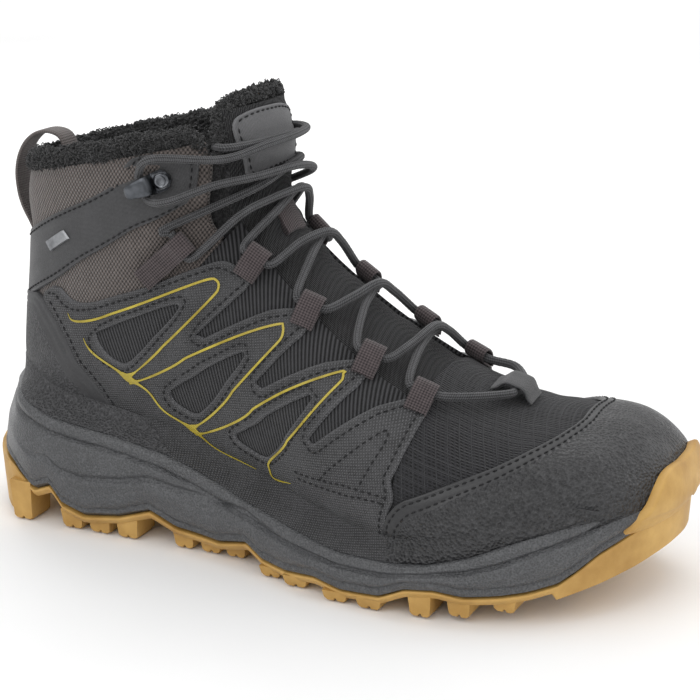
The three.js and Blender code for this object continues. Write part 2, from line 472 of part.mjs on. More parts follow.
// ---------- lace loops ----------
// each loop is a folded webbing ring: s, v of its tip
const LOOPS = { A: [13.2, 0.315], B: [10.72, 0.205], C: [8.92, 0.175], D: [7.55, 0.163], E: [6.5, 0.158] };
const LOOP_LEN = 11.5, LOOP_H = 6.0, LOOP_WALL = 0.8;
function loopFrame(key, side) {
  const [s, v] = LOOPS[key];
  const o = onLayer(s, side * v, 0), n = surfNormal(s, side * v);
  const back = onLayer(s, side * (v + 0.06), 0).sub(onLayer(s, side * v, 0)).normalize();
  n.addScaledVector(back, -n.dot(back)).normalize();
  const w = new THREE.Vector3().crossVectors(back, n).normalize();
  const up = onLayer(s + 0.3, side * v, 0).sub(o);
  if (w.dot(up) < 0) w.negate();           // w points up the boot
  return { o, n, back, w };
}
const tilt = 0.30;                         // loops lift off the surface towards the throat
for (const key of Object.keys(LOOPS)) {
  for (const [name, side] of [['lateral', 1], ['medial', -1]]) {
    const { o, n, back, w } = loopFrame(key, side);
    const sh = new THREE.Shape(), r = LOOP_H / 2;
    const ring = (rr, len, x0) => {
      const p = [];
      for (let k = 0; k <= 4; k++) { const a = Math.PI / 2 + Math.PI * k / 4; p.push(new THREE.Vector2(x0 + rr * Math.cos(a), rr * Math.sin(a))); }
      for (let k = 0; k <= 2; k++) { const a = -Math.PI / 2 + Math.PI * k / 2; p.push(new THREE.Vector2(x0 + len + rr * Math.cos(a) * 0.5, rr * Math.sin(a))); }
      return p;
    };
    sh.setFromPoints(ring(r, LOOP_LEN - LOOP_H, 0));
    sh.holes.push(new THREE.Path(ring(r - LOOP_WALL, LOOP_LEN - LOOP_H - 0.6, 0)));
    const g = new THREE.ExtrudeGeometry(sh, { depth: LOOP_W, bevelEnabled: false, steps: 1 });
    g.translate(0, 0, -LOOP_W / 2);
    const B = back.clone(), N = n.clone(), W = w.clone();
    if (new THREE.Vector3().crossVectors(B, N).dot(W) < 0) W.negate();
    const m = new THREE.Matrix4().makeBasis(B, N, W);
    const base = key === 'A' ? 0.4 : 0.4;
    m.setPosition(o.clone().addScaledVector(N, LOOP_H / 2 + base));
    g.applyMatrix4(m);
    let lp = fromGeometry(g).subtract(shell(5, 18.5, ...(side > 0 ? [0.0, 0.6] : [-0.6, 0.0]), [-4, key === 'A' ? GAP : GAP]));
    // stay clear of the overlay arm behind the loop
    lp = lp.subtract(shell(5, 18.5, ...(side > 0 ? [0.125, 0.6] : [-0.6, -0.125]), [-1, 1.5 + GAP]).intersect(shell(5, 18.5, ...(side > 0 ? [0.1876, 0.6] : [-0.6, -0.1876]), [-1, 4])));
    lp = lp.decompose().sort((p, q) => q.volume() - p.volume())[0];
    part(`lace_loop_${key.toLowerCase()}_${name}`, lp, 0x4f4748, 0.9);
  }
}

// ---------- keeper, hooks, rivets ----------
const KEEP_S = 5.25;
function keeperFrame() {
  const a = onLayer(KEEP_S, 0, 0), up = onLayer(KEEP_S + 0.5, 0, 0).sub(onLayer(KEEP_S - 0.5, 0, 0)).normalize(), n = surfNormal(KEEP_S, 0);
  n.addScaledVector(up, -n.dot(up)).normalize();
  return { a, up, n, y: new THREE.Vector3().crossVectors(up, n).normalize() };
}
{
  const { a, up, n, y } = keeperFrame();
  const sh = new THREE.Shape([[-8, 0.35], [8, 0.35], [8, 1.3], [4.5, 5.6], [-4.5, 5.6], [-8, 1.3]].map(([p, q]) => new THREE.Vector2(p, q)));
  sh.holes.push(new THREE.Path([[-4.6, 1.1], [-2.8, 4.75], [2.8, 4.75], [4.6, 1.1]].map(([p, q]) => new THREE.Vector2(p, q))));
  const g = new THREE.ExtrudeGeometry(sh, { depth: 15, bevelEnabled: false, steps: 1 });
  g.translate(0, 0, -7.5);
  const m = new THREE.Matrix4().makeBasis(up, n, y);
  m.setPosition(a);
  g.applyMatrix4(m);
  part('vamp_keeper', fromGeometry(g).subtract(shell(4, 6.5, -0.25, 0.25, [-4, GAP])), 0x3b3c3e, 0.6);
}
const HOOK = [16.66, 0.4];
function hookFrame(side) {
  const [s, v] = HOOK;
  const o = onLayer(s, side * v, 1.5), n = surfNormal(s, side * v);
  const r = onLayer(s, side * (v + 0.06), 0).sub(onLayer(s, side * (v - 0.06), 0)).normalize();
  n.addScaledVector(r, -n.dot(r)).normalize();
  return { o, n, r, u: new THREE.Vector3().crossVectors(r, n).normalize() };
}
for (const [name, side] of [['lateral', 1], ['medial', -1]]) {
  const { o, n, r, u } = hookFrame(side);
  const b = 0.9;
  const sh = new THREE.Shape([[-10, b], [-10, b + 1], [-3.2, b + 1], [-3.2, b + 5.6], [-2.4, b + 6.6], [5.5, b + 6.6], [7.6, b + 5.4], [7.0, b + 4.6], [5.2, b + 5.5], [-1.6, b + 5.5], [-2.1, b + 5],
    [-2.1, b + 1], [4, b + 1], [4, b]].map(([p, q]) => new THREE.Vector2(p, q)));
  const g = new THREE.ExtrudeGeometry(sh, { depth: 8, bevelEnabled: false, steps: 1 });
  g.translate(0, 0, -4);
  const m = new THREE.Matrix4().makeBasis(r, n, u);
  m.setPosition(o);
  g.applyMatrix4(m);
  const rv = new THREE.CylinderGeometry(0.95, 0.95, 1.6, 8);
  const hole = new THREE.CylinderGeometry(1.3, 1.3, 6, 10);
  rv.translate(0, 0, 0);
  const place = (geo, h) => { const q = new THREE.Matrix4().makeBasis(r, n, u); q.setPosition(o.clone().addScaledVector(r, -6.6).addScaledVector(n, h)); geo.applyMatrix4(q); return fromGeometry(geo); };
  const guard = shell(14, 18, ...(side > 0 ? [0.25, 0.75] : [-0.75, -0.25]), [0, 1.5 + GAP]);
  part(`hook_${name}`, fromGeometry(g).subtract(guard).subtract(place(hole, b + 1)), 0x4c4e52, 0.35, 0.9);
  const head = new THREE.LatheGeometry([[0, b + 1.35], [3.1, b + 1.35], [3.1, b + 1.8], [2.2, b + 2.6], [0, b + 2.9]].map(([x, y]) => new THREE.Vector2(x, y)), 10);
  const stem = new THREE.CylinderGeometry(0.95, 0.95, 1.2, 8);
  stem.translate(0, b + 0.9, 0);
  part(`hook_rivet_${name}`, place(head, 0).add(place(stem, 0)).subtract(guard), 0x6a6c70, 0.3, 0.95);
}

// ---------- lace ----------
// one lace, both halves starting under the keeper and crossing up the throat
function throughLoop(key, side) {
  const { o, n, back, w } = loopFrame(key, side);
  const c = o.clone().addScaledVector(n, LOOP_H / 2 + 0.4).addScaledVector(back, 0.15);
  return [c.clone().addScaledVector(w, -LOOP_W * 0.68), c, c.clone().addScaledVector(w, LOOP_W * 0.68)];
}
const over = (s, v, h) => onLayer(s, v, h);
function halfLace(first) {
  const order = ['E', 'D', 'C', 'B', 'A'];
  const k = keeperFrame(), sgn = k.y.y < 0 ? first : -first;
  const keep = (d, h, u = 0) => k.a.clone().addScaledVector(k.n, h).addScaledVector(k.y, sgn * d).addScaledVector(k.up, u);
  const pts = [];
  let side = first;
  const cross = [[7.03, 3.9, 8.4, 0.08], [8.24, 3.9, 8.4, 0.15], [9.82, 3.9, 8.4, 0.22], [11.75, 4.2, 8.7, 0.3]];
  order.forEach((key, i) => {
    const t = throughLoop(key, side);
    if (i === 0) {
      pts.push(keep(0, 3.0), keep(4.5, 3.0), keep(9.5, 3.0, 0.2), over(KEEP_S + 0.42, first * 0.125, 4.2));
    } else {
      const [s, lo, hi, ds] = cross[i - 1];
      const h = (i % 2 === 0) === (first > 0) ? hi : lo;
      const mid = 4.4 + (h - 4.4) * 0.4, last = key === 'A';
      pts.push(over(s - ds, -side * 0.085, mid), over(s, 0, h), over(s + ds, side * (last ? 0.1 : 0.085), mid));
      if (last) pts.push(over(s + 0.62, side * 0.19, 5.0));
    }
    pts.push(...t);
    side = -side;
  });
  return { pts, side: -side };
}
const h1 = halfLace(1), h2 = halfLace(-1);
const lowerPts = [...h1.pts.slice().reverse(), ...h2.pts.slice(1)];
part('lace_lower', tube(lowerPts, LACE_R, LACE_SIDES, 104), 0x3a3a3b, 0.9);
for (const [name, h, lift] of [['medial', h1, 0], ['lateral', h2, 4.2]]) {
  const side = h.side;                     // side of loop A that this half leaves
  const hs = -side;                        // side of its hook
  const { o, n, r, u } = hookFrame(hs);
  const up = u.clone();
  if (up.z < 0) up.negate();
  const start = throughLoop('A', side)[2];
  const dir = start.clone().sub(throughLoop('A', side)[1]).normalize();
  const a0 = start.clone().addScaledVector(dir, 0.35);
  const b = 0.9, hc = b + 3.2;
  const hookPt = (dr, du, dn = 0) => o.clone().addScaledVector(r, dr).addScaledVector(up, du).addScaledVector(n, hc + dn);
  const pts = [a0, a0.clone().addScaledVector(dir, 2.0),
    over(13.6, side * 0.13, 5.2 + lift), over(14.1, 0.0, 5.2 + lift), over(14.8, hs * 0.13, 5.2 + lift * 0.6), over(15.4, hs * 0.24, 6.2),
    hookPt(-8.0, -8.0, 2.6), hookPt(0.0, -5.4), hookPt(0.7, 0), hookPt(0.0, 5.4), hookPt(-8.5, 8.5, 2.6),
    over(16.9, hs * 0.22, 5.6 + lift * 0.4), over(16.95, hs * 0.1, 5.0 + lift * 0.8), over(17.0, 0.0, 4.8 + lift), over(17.2, side * 0.12, 4.6 + lift * 0.8)];
  const endA = over(17.5, side * 0.2, 5.4), endB = over(17.6, side * 0.222, -1.5), endC = onLayer(17.3, side * 0.222, -9.5), endD = onLayer(16.0, side * 0.225, -12.5);
  pts.push(endA, endB, endC, endD);
  part(`lace_upper_${name}`, tube(pts, LACE_R, LACE_SIDES, 38), 0x3a3a3b, 0.9);
  const t = endD.clone().sub(endC).normalize();
  part(`aglet_${name}`, tube([endD.clone().addScaledVector(t, 0.35), endD.clone().addScaledVector(t, 8), endD.clone().addScaledVector(t, 18)], 1.75, 10, 3), 0x202022, 0.35);
}

// ---------- heel pull loop ----------
{
  const path = [[24.5, 141], [24.8, 147], [22.6, 151.6], [17.5, 153.2], [11.5, 152.2], [6.2, 148.3], [2.6, 142.3], [1.0, 135.3], [1.4, 128], [2.6, 123.2], [4.4, 119.4]];
  const fine = new THREE.CatmullRomCurve3(path.map(([x, z]) => new THREE.Vector3(x, 0, z))).getPoints(16).map((p) => [p.x, p.z]);
  const loop = bandY(fine, 1.5, -PULL_W / 2, PULL_W / 2);
  const tab = bandY([[8.4, 110.2], [7.7, 113.0], [5.9, 116.6], [4.9, 118.5]], 1.5, -PULL_W / 2, PULL_W / 2);
  part('pull_loop', loop, 0x6b6463, 0.95);
  // the loop swings about the line through its two sewn ends
  part('pull_loop_tab', clearOf(tab, loop, [6.5, 0, 115], [0.569, 0, 0.822], -PULL_SWING - 1.5, PULL_SWING + 1.5, 1.5), 0x6b6463, 0.95);
}

boot.children.forEach((m) => m.position.set(-ORIGIN[0], -ORIGIN[1], -ORIGIN[2]));
export default boot;
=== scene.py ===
import bpy, math
import numpy as np
from mathutils import Vector, Matrix
from mathutils.geometry import delaunay_2d_cdt
from mathutils.bvhtree import BVHTree


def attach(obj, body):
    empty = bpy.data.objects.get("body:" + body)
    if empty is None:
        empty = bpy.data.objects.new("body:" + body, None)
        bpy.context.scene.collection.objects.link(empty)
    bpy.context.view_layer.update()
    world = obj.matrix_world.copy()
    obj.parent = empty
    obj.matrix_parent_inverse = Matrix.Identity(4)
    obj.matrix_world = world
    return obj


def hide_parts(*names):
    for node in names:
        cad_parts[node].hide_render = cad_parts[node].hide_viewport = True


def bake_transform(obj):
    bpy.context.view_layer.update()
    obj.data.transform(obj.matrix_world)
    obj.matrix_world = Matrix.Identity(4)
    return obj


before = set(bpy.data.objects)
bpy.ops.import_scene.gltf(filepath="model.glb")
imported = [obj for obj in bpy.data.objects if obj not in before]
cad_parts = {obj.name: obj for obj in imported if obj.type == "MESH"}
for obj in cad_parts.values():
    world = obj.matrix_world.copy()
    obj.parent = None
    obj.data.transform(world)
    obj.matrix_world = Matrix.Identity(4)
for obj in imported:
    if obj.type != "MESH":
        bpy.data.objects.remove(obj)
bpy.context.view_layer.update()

RNG = np.random.default_rng(11)
ORIGIN = np.array([137.52, -6.15, 0.0])     # work frame (mm) to row frame

# ---------------------------------------------------------------- camera, lights, floor
AZ, EL, ROLL, DIST = math.radians(25.998), math.radians(16.888), math.radians(-0.777), 0.71025
back = Vector((math.sin(AZ) * math.cos(EL), -math.cos(AZ) * math.cos(EL), math.sin(EL)))
right0 = Vector((math.cos(AZ), math.sin(AZ), 0)); up0 = back.cross(right0)
right = math.cos(ROLL) * right0 + math.sin(ROLL) * up0; up = -math.sin(ROLL) * right0 + math.cos(ROLL) * up0
target = Vector((0.00942, 0.00853, 0.07581))
cam = bpy.data.objects.new("camera", bpy.data.cameras.new("camera"))
cam.data.sensor_width = 36; cam.data.lens = 1845.04 / 700 * 36; cam.data.clip_start = 0.02; cam.data.clip_end = 30
m = Matrix((right, up, back)).transposed().to_4x4(); m.translation = target + back * DIST
cam.matrix_world = m
bpy.context.scene.collection.objects.link(cam); bpy.context.scene.camera = cam
bpy.context.scene.view_settings.view_transform = "Standard"

def area(name, pos, size, power, aim=(0, 0, 0.06), color=(1, 1, 1)):
    l = bpy.data.lights.new(name, "AREA"); l.shape = "RECTANGLE"; l.size, l.size_y = size; l.energy = power; l.color = color
    o = bpy.data.objects.new(name, l); o.location = pos
    o.rotation_euler = (Vector(aim) - Vector(pos)).to_track_quat("-Z", "Y").to_euler()
    bpy.context.scene.collection.objects.link(o)
area("key", (-0.35, -1.15, 1.05), (1.5, 1.2), 8.0)
area("front", (1.15, -0.85, 0.95), (1.7, 1.5), 4.8)
area("top", (0.1, 0.2, 1.25), (1.2, 1.0), 4.6)
area("rim", (-0.9, 0.8, 0.7), (0.7, 0.9), 4.0)
area("rim_toe", (0.9, 0.9, 0.6), (0.7, 0.7), 3.6)
area("sweep", (-1.2, 2.6, 1.9), (4.0, 2.0), 48, (-1.5, 3.2, 0))
world = bpy.data.worlds.new("world"); bpy.context.scene.world = world; world.use_nodes = True
world.node_tree.nodes["Background"].inputs[0].default_value = (1, 1, 1, 1)
world.node_tree.nodes["Background"].inputs[1].default_value = 0.62

# ---------------------------------------------------------------- materials
def rgb(h, k=1.0):
    c = [int(h[i:i + 2], 16) / 255 for i in (0, 2, 4)]
    return tuple(min(1, k * (x / 12.92 if x <= 0.04045 else ((x + 0.055) / 1.055) ** 2.4)) for x in c) + (1,)

class Mat:
    """A small wrapper that builds a procedural material on the surface's own millimetre chart."""
    def __init__(s, name, rough=0.8, metal=0.0, sheen=0.0, coat=0.0, spec=0.5):
        s.m = bpy.data.materials.new(name); s.m.use_nodes = True; s.t = s.m.node_tree
        s.b = s.t.nodes["Principled BSDF"]; i = s.b.inputs
        i["Roughness"].default_value = rough; i["Metallic"].default_value = metal
        i["Sheen Weight"].default_value = sheen; i["Sheen Roughness"].default_value = 0.5
        i["Coat Weight"].default_value = coat; i["Specular IOR Level"].default_value = spec
        s.chart = s.n("ShaderNodeAttribute"); s.chart.attribute_name = "chart"
        s.edge = s.n("ShaderNodeAttribute"); s.edge.attribute_name = "edge"
        x = s.n("ShaderNodeSeparateXYZ"); s.l(s.chart.outputs["Vector"], x.inputs[0]); s.u, s.v = x.outputs[0], x.outputs[1]
        g = s.n("ShaderNodeTexCoord"); s.obj = g.outputs["Object"]
    def n(s, kind): return s.t.nodes.new(kind)
    def l(s, a, b): s.t.links.new(a, b)
    def put(s, x, sock):
        if hasattr(x, "is_output"): s.l(x, sock)
        else: sock.default_value = x
    def math(s, op, a, b=0.0, c=0.0):
        q = s.n("ShaderNodeMath"); q.operation = op
        s.put(a, q.inputs[0]); s.put(b, q.inputs[1]); s.put(c, q.inputs[2]); return q.outputs[0]
    def wave(s, cu, cv, sharp=1.0):
        """0..1 ridges across the direction (cu, cv), in cycles per millimetre."""
        t = s.math("ADD", s.math("MULTIPLY", s.u, cu * 2 * math.pi), s.math("MULTIPLY", s.v, cv * 2 * math.pi))
        w = s.math("MULTIPLY_ADD", s.math("SINE", t), 0.5, 0.5)
        return s.math("POWER", w, sharp) if sharp != 1 else w
    def noise(s, scale, detail=3.0, rough=0.55, chart=False):
        q = s.n("ShaderNodeTexNoise"); q.inputs["Scale"].default_value = scale; q.inputs["Detail"].default_value = detail
        q.inputs["Roughness"].default_value = rough; s.l(s.chart.outputs["Vector"] if chart else s.obj, q.inputs["Vector"]); return q.outputs[0]
    def voro(s, scale):
        q = s.n("ShaderNodeTexVoronoi"); q.inputs["Scale"].default_value = scale; s.l(s.obj, q.inputs["Vector"]); return q.outputs["Distance"]
    def ramp(s, f, stops):
        q = s.n("ShaderNodeValToRGB"); s.l(f, q.inputs[0]); e = q.color_ramp.elements
        while len(e) < len(stops): e.new(0.5)
        for k, (p, c) in zip(e, stops): k.position = p; k.color = c
        return q.outputs[0]
    def color(s, c): s.l(c, s.b.inputs["Base Color"])
    def rough(s, f, a, b): s.l(s.math("MULTIPLY_ADD", f, b - a, a), s.b.inputs["Roughness"])
    def mix(s, f, a, b):
        q = s.n("ShaderNodeMix"); q.data_type = "RGBA"; s.put(f, q.inputs[0]); s.put(a, q.inputs[6]); s.put(b, q.inputs[7]); return q.outputs[2]
    def bump(s, h, dist, strength=1.0):
        q = s.n("ShaderNodeBump"); q.inputs["Strength"].default_value = strength; q.inputs["Distance"].default_value = dist
        s.l(h, q.inputs["Height"])
        if s.b.inputs["Normal"].is_linked: s.l(s.b.inputs["Normal"].links[0].from_socket, q.inputs["Normal"])
        s.l(q.outputs[0], s.b.inputs["Normal"])

def textile(name, dark, light, ribs, cross=None, sheen=0.25, depth=0.00035, rough=0.88, grid=None):
    """ribs and cross are (cycles per mm along u, along v); grid is the spacing in mm of ripstop lines."""
    k = Mat(name, rough, sheen=sheen, spec=0.3); h = k.wave(*ribs, 0.8)
    if cross: h = k.math("MAXIMUM", h, k.math("MULTIPLY", k.wave(*cross, 0.8), 0.8)) if grid else k.math("MULTIPLY", k.math("ADD", h, k.wave(*cross, 0.8)), 0.5)
    if grid:
        g = k.math("MAXIMUM", k.wave(1 / grid, 0, 26), k.wave(0, 1 / (grid * 0.8), 26)); h = k.math("MAXIMUM", k.math("MULTIPLY", h, 0.6), g)
    f = k.math("MULTIPLY_ADD", k.noise(240, 4), 0.25, k.math("MULTIPLY_ADD", k.noise(1500, 2), 0.2, k.math("MULTIPLY", h, 0.65)))
    k.color(k.ramp(f, [(0.22, rgb(dark)), (0.85, rgb(light))])); k.bump(k.noise(2200, 2), 0.00006); k.bump(h, depth)
    return k.m

def film(name, dark, light, scale=1.7, rough=0.58, depth=0.00009):
    """Coated synthetic with a fine twill emboss and lighter worn edges."""
    k = Mat(name, rough, sheen=0.05, spec=0.4); h = k.math("MULTIPLY", k.wave(scale, scale * 0.25), k.wave(scale * -0.15, scale * 1.1))
    c = k.ramp(k.math("MULTIPLY_ADD", k.noise(70, 5), 0.35, k.math("MULTIPLY_ADD", k.noise(1100, 2), 0.35, k.math("MULTIPLY", h, 0.6))), [(0.25, rgb(dark)), (0.8, rgb(light))])
    wear = k.ramp(k.edge.outputs["Fac"], [(0.0, (1, 1, 1, 1)), (0.09, (0, 0, 0, 1))])
    k.color(k.mix(k.math("MULTIPLY", wear, 0.35), c, rgb(light, 1.9))); k.rough(k.noise(160), rough - 0.1, rough + 0.12)
    k.bump(k.noise(900, 3), 0.00005); k.bump(h, depth); return k.m

def grained(name, dark, light, scale, rough, coat=0.0, depth=0.0003):
    """Pebbled rubberised surface."""
    k = Mat(name, rough, coat=coat, spec=0.5); strip = k.ramp(k.edge.outputs["Fac"], [(0.52, (0, 0, 0, 1)), (0.58, (1, 1, 1, 1))])
    h = k.math("MULTIPLY_ADD", k.math("SUBTRACT", k.voro(scale), 0.35), strip, 0.35)
    k.color(k.ramp(k.math("MULTIPLY_ADD", k.noise(60, 5), 0.25, k.math("MULTIPLY_ADD", k.noise(1300, 3), 0.4, k.math("MULTIPLY", h, 0.55))), [(0.2, rgb(dark)), (0.85, rgb(light))]))
    k.rough(k.noise(140, 4), rough - 0.08, rough + 0.14); k.bump(k.noise(2600, 2), 0.00005); k.bump(h, depth); return k.m

def plain(name, dark, light, rough=0.6, metal=0.0, scale=120, depth=0.00006, coat=0.0):
    k = Mat(name, rough, metal=metal, coat=coat); k.color(k.ramp(k.noise(scale, 6), [(0.3, rgb(dark)), (0.75, rgb(light))]))
    k.rough(k.noise(scale * 3), rough - 0.08, rough + 0.1); k.bump(k.noise(scale * 12, 3), depth); return k.m

M = {}
M["collar_textile"] = textile("collar_weave", "0c0b0a", "716864", (0.66, 0.46), (-0.66, 0.46), depth=0.0007)
M["quarter_textile"] = textile("quarter_rib", "060607", "424244", (0.72, 0.22), depth=0.0006, sheen=0.06)
M["ripstop"] = textile("vamp_ripstop", "030304", "3a3a3d", (0.0, 0.85), (0.55, 0.0), grid=4.6, depth=0.0009, sheen=0.1)
M["tongue_textile"] = textile("tongue_rib", "030304", "353537", (0.46, 0.0), (0.0, 1.3), depth=0.0013, sheen=0.1)
M["overlay_film"] = film("overlay_twill", "151516", "5c5c5e", 0.95, 0.5, 0.00042)
M["strap_synthetic"] = film("strap_smooth", "2b2b2c", "515153", 1.9, 0.5, 0.00014)
M["tongue_patch"] = film("patch_smooth", "474748", "6c6c6e", 1.9, 0.55, 0.00012)
M["rubberised_guard"] = grained("cap_pebble", "050506", "363638", 850, 0.40, 0.08, 0.0010)
M["counter_grain"] = grained("counter_grain", "080809", "4c4c4e", 1150, 0.55, 0.0, 0.0007)
M["midsole_eva"] = grained("midsole_eva", "1c1c1e", "57585a", 1500, 0.40, 0.08, 0.00030)
M["outsole_gum"] = plain("gum_rubber", "a47b3a", "d0a860", 0.55, scale=60, depth=0.00008)
M["webbing"] = textile("webbing_rib", "151213", "5a5152", (1.05, 0.0), (0, 0.9), depth=0.0003, sheen=0.15)
M["pull_webbing"] = textile("pull_rib", "3f3b3a", "716a68", (1.0, 0.0), (0, 1.0), depth=0.0003, sheen=0.15)
M["lace"] = textile("lace_braid", "060607", "5c5c5e", (0.0, 0.95), (1.25, 0.5), depth=0.0003, sheen=0.12)
M["hook"] = plain("gunmetal", "26282b", "6a6d72", 0.32, 0.9, 200, 0.00003)
M["rivet"] = plain("rivet_gunmetal", "4a4c50", "9a9da2", 0.28, 0.95, 200, 0.00003)
M["tag"] = plain("metallic_film", "6e7073", "b4b6b9", 0.35, 0.7, 160, 0.00003)
M["aglet"] = plain("aglet_gloss", "141416", "2a2a2d", 0.25, 0, 200, 0.00002, 0.5)
M["thread"] = plain("stitch_thread", "08080a", "1e1e20", 0.8, 0, 900, 0.00004)
M["gold"] = plain("gold_print", "8f7d1e", "bfae3c", 0.42, 0, 90, 0.00002)
M["stiffener"] = plain("thermoplastic", "a99f86", "d0c7ae", 0.6)
M["insole_board"] = plain("fibre_board", "9c8d6f", "c4b594", 0.9, scale=300)
M["shank_nylon"] = plain("shank_nylon", "7c7e80", "9a9c9e", 0.5)
M["foam"] = plain("open_cell_foam", "66625a", "8a867c", 0.95, scale=700, depth=0.0003)
M["footbed_foam"] = plain("footbed_top", "303235", "54575b", 0.95, scale=900, depth=0.0004)
k = Mat("deep_fleece", 1.0, sheen=0.28, spec=0.12)
k.color(k.ramp(k.noise(420, 5, 0.7), [(0.3, rgb("040404")), (0.75, rgb("4c4c4d"))])); k.bump(k.noise(900, 4, 0.7), 0.0012); M["fleece"] = k.m
k = Mat("floor_paper", 0.9, spec=0.2); k.color(k.ramp(k.noise(8), [(0.2, (0.89, 0.89, 0.89, 1)), (0.8, (0.92, 0.92, 0.92, 1))])); M["floor"] = k.m

# ---------------------------------------------------------------- lasted surface
ST = np.array([
 [278.5,40,6,278.5,39,6,1,1,.60,2,2.2],[276,50,6,277,37,6,17,16,.60,2,2.3],[269,58,5,270,32,5,30,27.5,.62,2,2.5],[257,63.5,4,257,27,4,42,38,.64,2,2.6],
 [240,65,2,240,22,1,49,44,.66,2,2.7],[221,66.5,0,221,18.5,-2,53,46.5,.66,2,2.7],[201,73,-2,201,16.5,-4,54,47,.66,2,2.7],[181,83,-3,180,17.5,-5,51.5,46,.65,2,2.7],
 [161,95.5,-3,156,20,-4,46.5,43.5,.62,2,2.7],[144,108,-2,130,25,-2,41.5,40.5,.58,2,2.6],[132,119,-1,102,30,-1,38,38,.55,2,2.5],[124.5,129,0,72,33,0,37,37,.53,2,2.4],
 [120.5,137,0,42,36,0,37,37,.52,2,2.3],[119,142,0,14.5,41,0,37,37,.52,2.1,2.2],[118.5,146.5,0,6.5,57,0,37,37,.52,2.2,2.1],[118.5,150.5,0,8,80,0,37,37,.52,2.3,2.1],
 [118.5,154,0,10.5,102,0,36.5,36.5,.52,2.4,2.1],[118,157.5,0,12.3,122,0,36,36,.52,2.4,2.1],[117,161,0,13.2,139.5,0,36,36,.52,2.4,2.15],[115,172.5,0,13.8,150,0,36.5,36.5,.52,2.4,2.2]])
NS = len(ST)
def surf(s, v):
    s, v = np.broadcast_arrays(np.asarray(s, float), np.asarray(v, float))
    v = (v + 1) % 2 - 1
    sc = np.clip(s, 0, NS - 1 - 1e-9); i = np.floor(sc).astype(int); f = (sc - i)[..., None]
    g = lambda q: ST[np.clip(q, 0, NS - 1)]
    p0, p1, p2, p3 = g(i - 1), g(i), g(i + 1), g(i + 2)
    p0 = np.where((i == 0)[..., None], 2 * p1 - p2, p0); p3 = np.where((i >= NS - 2)[..., None], 2 * p2 - p1, p3)
    P = 0.5 * (2 * p1 + (p2 - p0) * f + (2 * p0 - 5 * p1 + 4 * p2 - p3) * f**2 + (-p0 + 3 * p1 - 3 * p2 + p3) * f**3)
    th = np.pi * np.clip(np.abs(v), 0, 1); c, si = np.cos(th), np.maximum(np.sin(th), 0)
    Tx, Tz, Ty, Bx, Bz, By, wl, wm, tc, nT, nB = [P[..., q] for q in range(11)]
    n = np.where(c >= 0, nT, nB); q = np.abs(c) ** (2 / n); t = np.where(c >= 0, tc * (1 - q), tc + (1 - tc) * q); w = np.where(v >= 0, -wl, wm) * si ** (2 / n)
    return np.stack([Tx + (Bx - Tx) * t, Ty + (By - Ty) * t + w, Tz + (Bz - Tz) * t], -1)
def normal(s, v):
    s, v = np.broadcast_arrays(np.asarray(s, float), np.asarray(v, float)); e = 6e-3
    s2 = np.clip(s, 0.06, NS - 1.06); a = surf(s2 + 2 * e, v) - surf(s2 - 2 * e, v); b = surf(s2, v + e) - surf(s2, v - e)
    n = np.cross(a, b); return n / np.maximum(np.linalg.norm(n, axis=-1, keepdims=True), 1e-9)
_q = normal(15.0, 0.5); FLIP = 1.0 if _q[1] < 0 else -1.0
def N(s, v): return normal(s, v) * FLIP
def L(s, v, off=0.0):
    o = np.asarray(off, float)[..., None] if np.ndim(off) else off
    return surf(s, v) + N(s, v) * o

# ---------------------------------------------------------------- mesh helpers
def unit(a): return a / np.maximum(np.linalg.norm(a, axis=-1, keepdims=True), 1e-9)
class Bag:
    """Collects closed pieces of one mesh, in work-frame millimetres."""
    def __init__(s): s.V, s.F, s.C, s.E, s.n = [], [], [], [], 0
    def add(s, V, F, C=None, E=None):
        V = np.asarray(V, float); s.V.append(V); s.F += [tuple(int(i) + s.n for i in f) for f in F]; s.n += len(V)
        s.C.append(np.zeros((len(V), 2)) if C is None else np.asarray(C, float)); s.E.append(np.ones(len(V)) if E is None else np.asarray(E, float))
def outward(V, F):
    V = np.asarray(V); t = [(f[0], f[k], f[k + 1]) for f in F for k in range(1, len(f) - 1)]; T = np.array(t)
    vol = np.einsum("ij,ij->i", V[T[:, 0]], np.cross(V[T[:, 1]], V[T[:, 2]])).sum()
    return F if vol > 0 else [tuple(reversed(f)) for f in F]
def emit(bag, name, mat, body="boot", nodes=(), smooth=True, angle=40):
    V = (np.concatenate(bag.V) - ORIGIN) / 1000; me = bpy.data.meshes.new(name); me.from_pydata(V.tolist(), [], bag.F); me.update()
    a = me.attributes.new("chart", "FLOAT_VECTOR", "POINT"); C = np.concatenate(bag.C); a.data.foreach_set("vector", np.column_stack([C, np.zeros(len(C))]).ravel().astype(np.float32))
    a = me.attributes.new("edge", "FLOAT", "POINT"); a.data.foreach_set("value", np.concatenate(bag.E).astype(np.float32))
    o = bpy.data.objects.new(name, me); bpy.context.scene.collection.objects.link(o); me.materials.append(M[mat])
    if smooth:
        me.shade_smooth()
        if angle < 180: me.set_sharp_from_angle(angle=math.radians(angle))
    if body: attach(o, body)
    if nodes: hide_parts(*nodes)
    return o
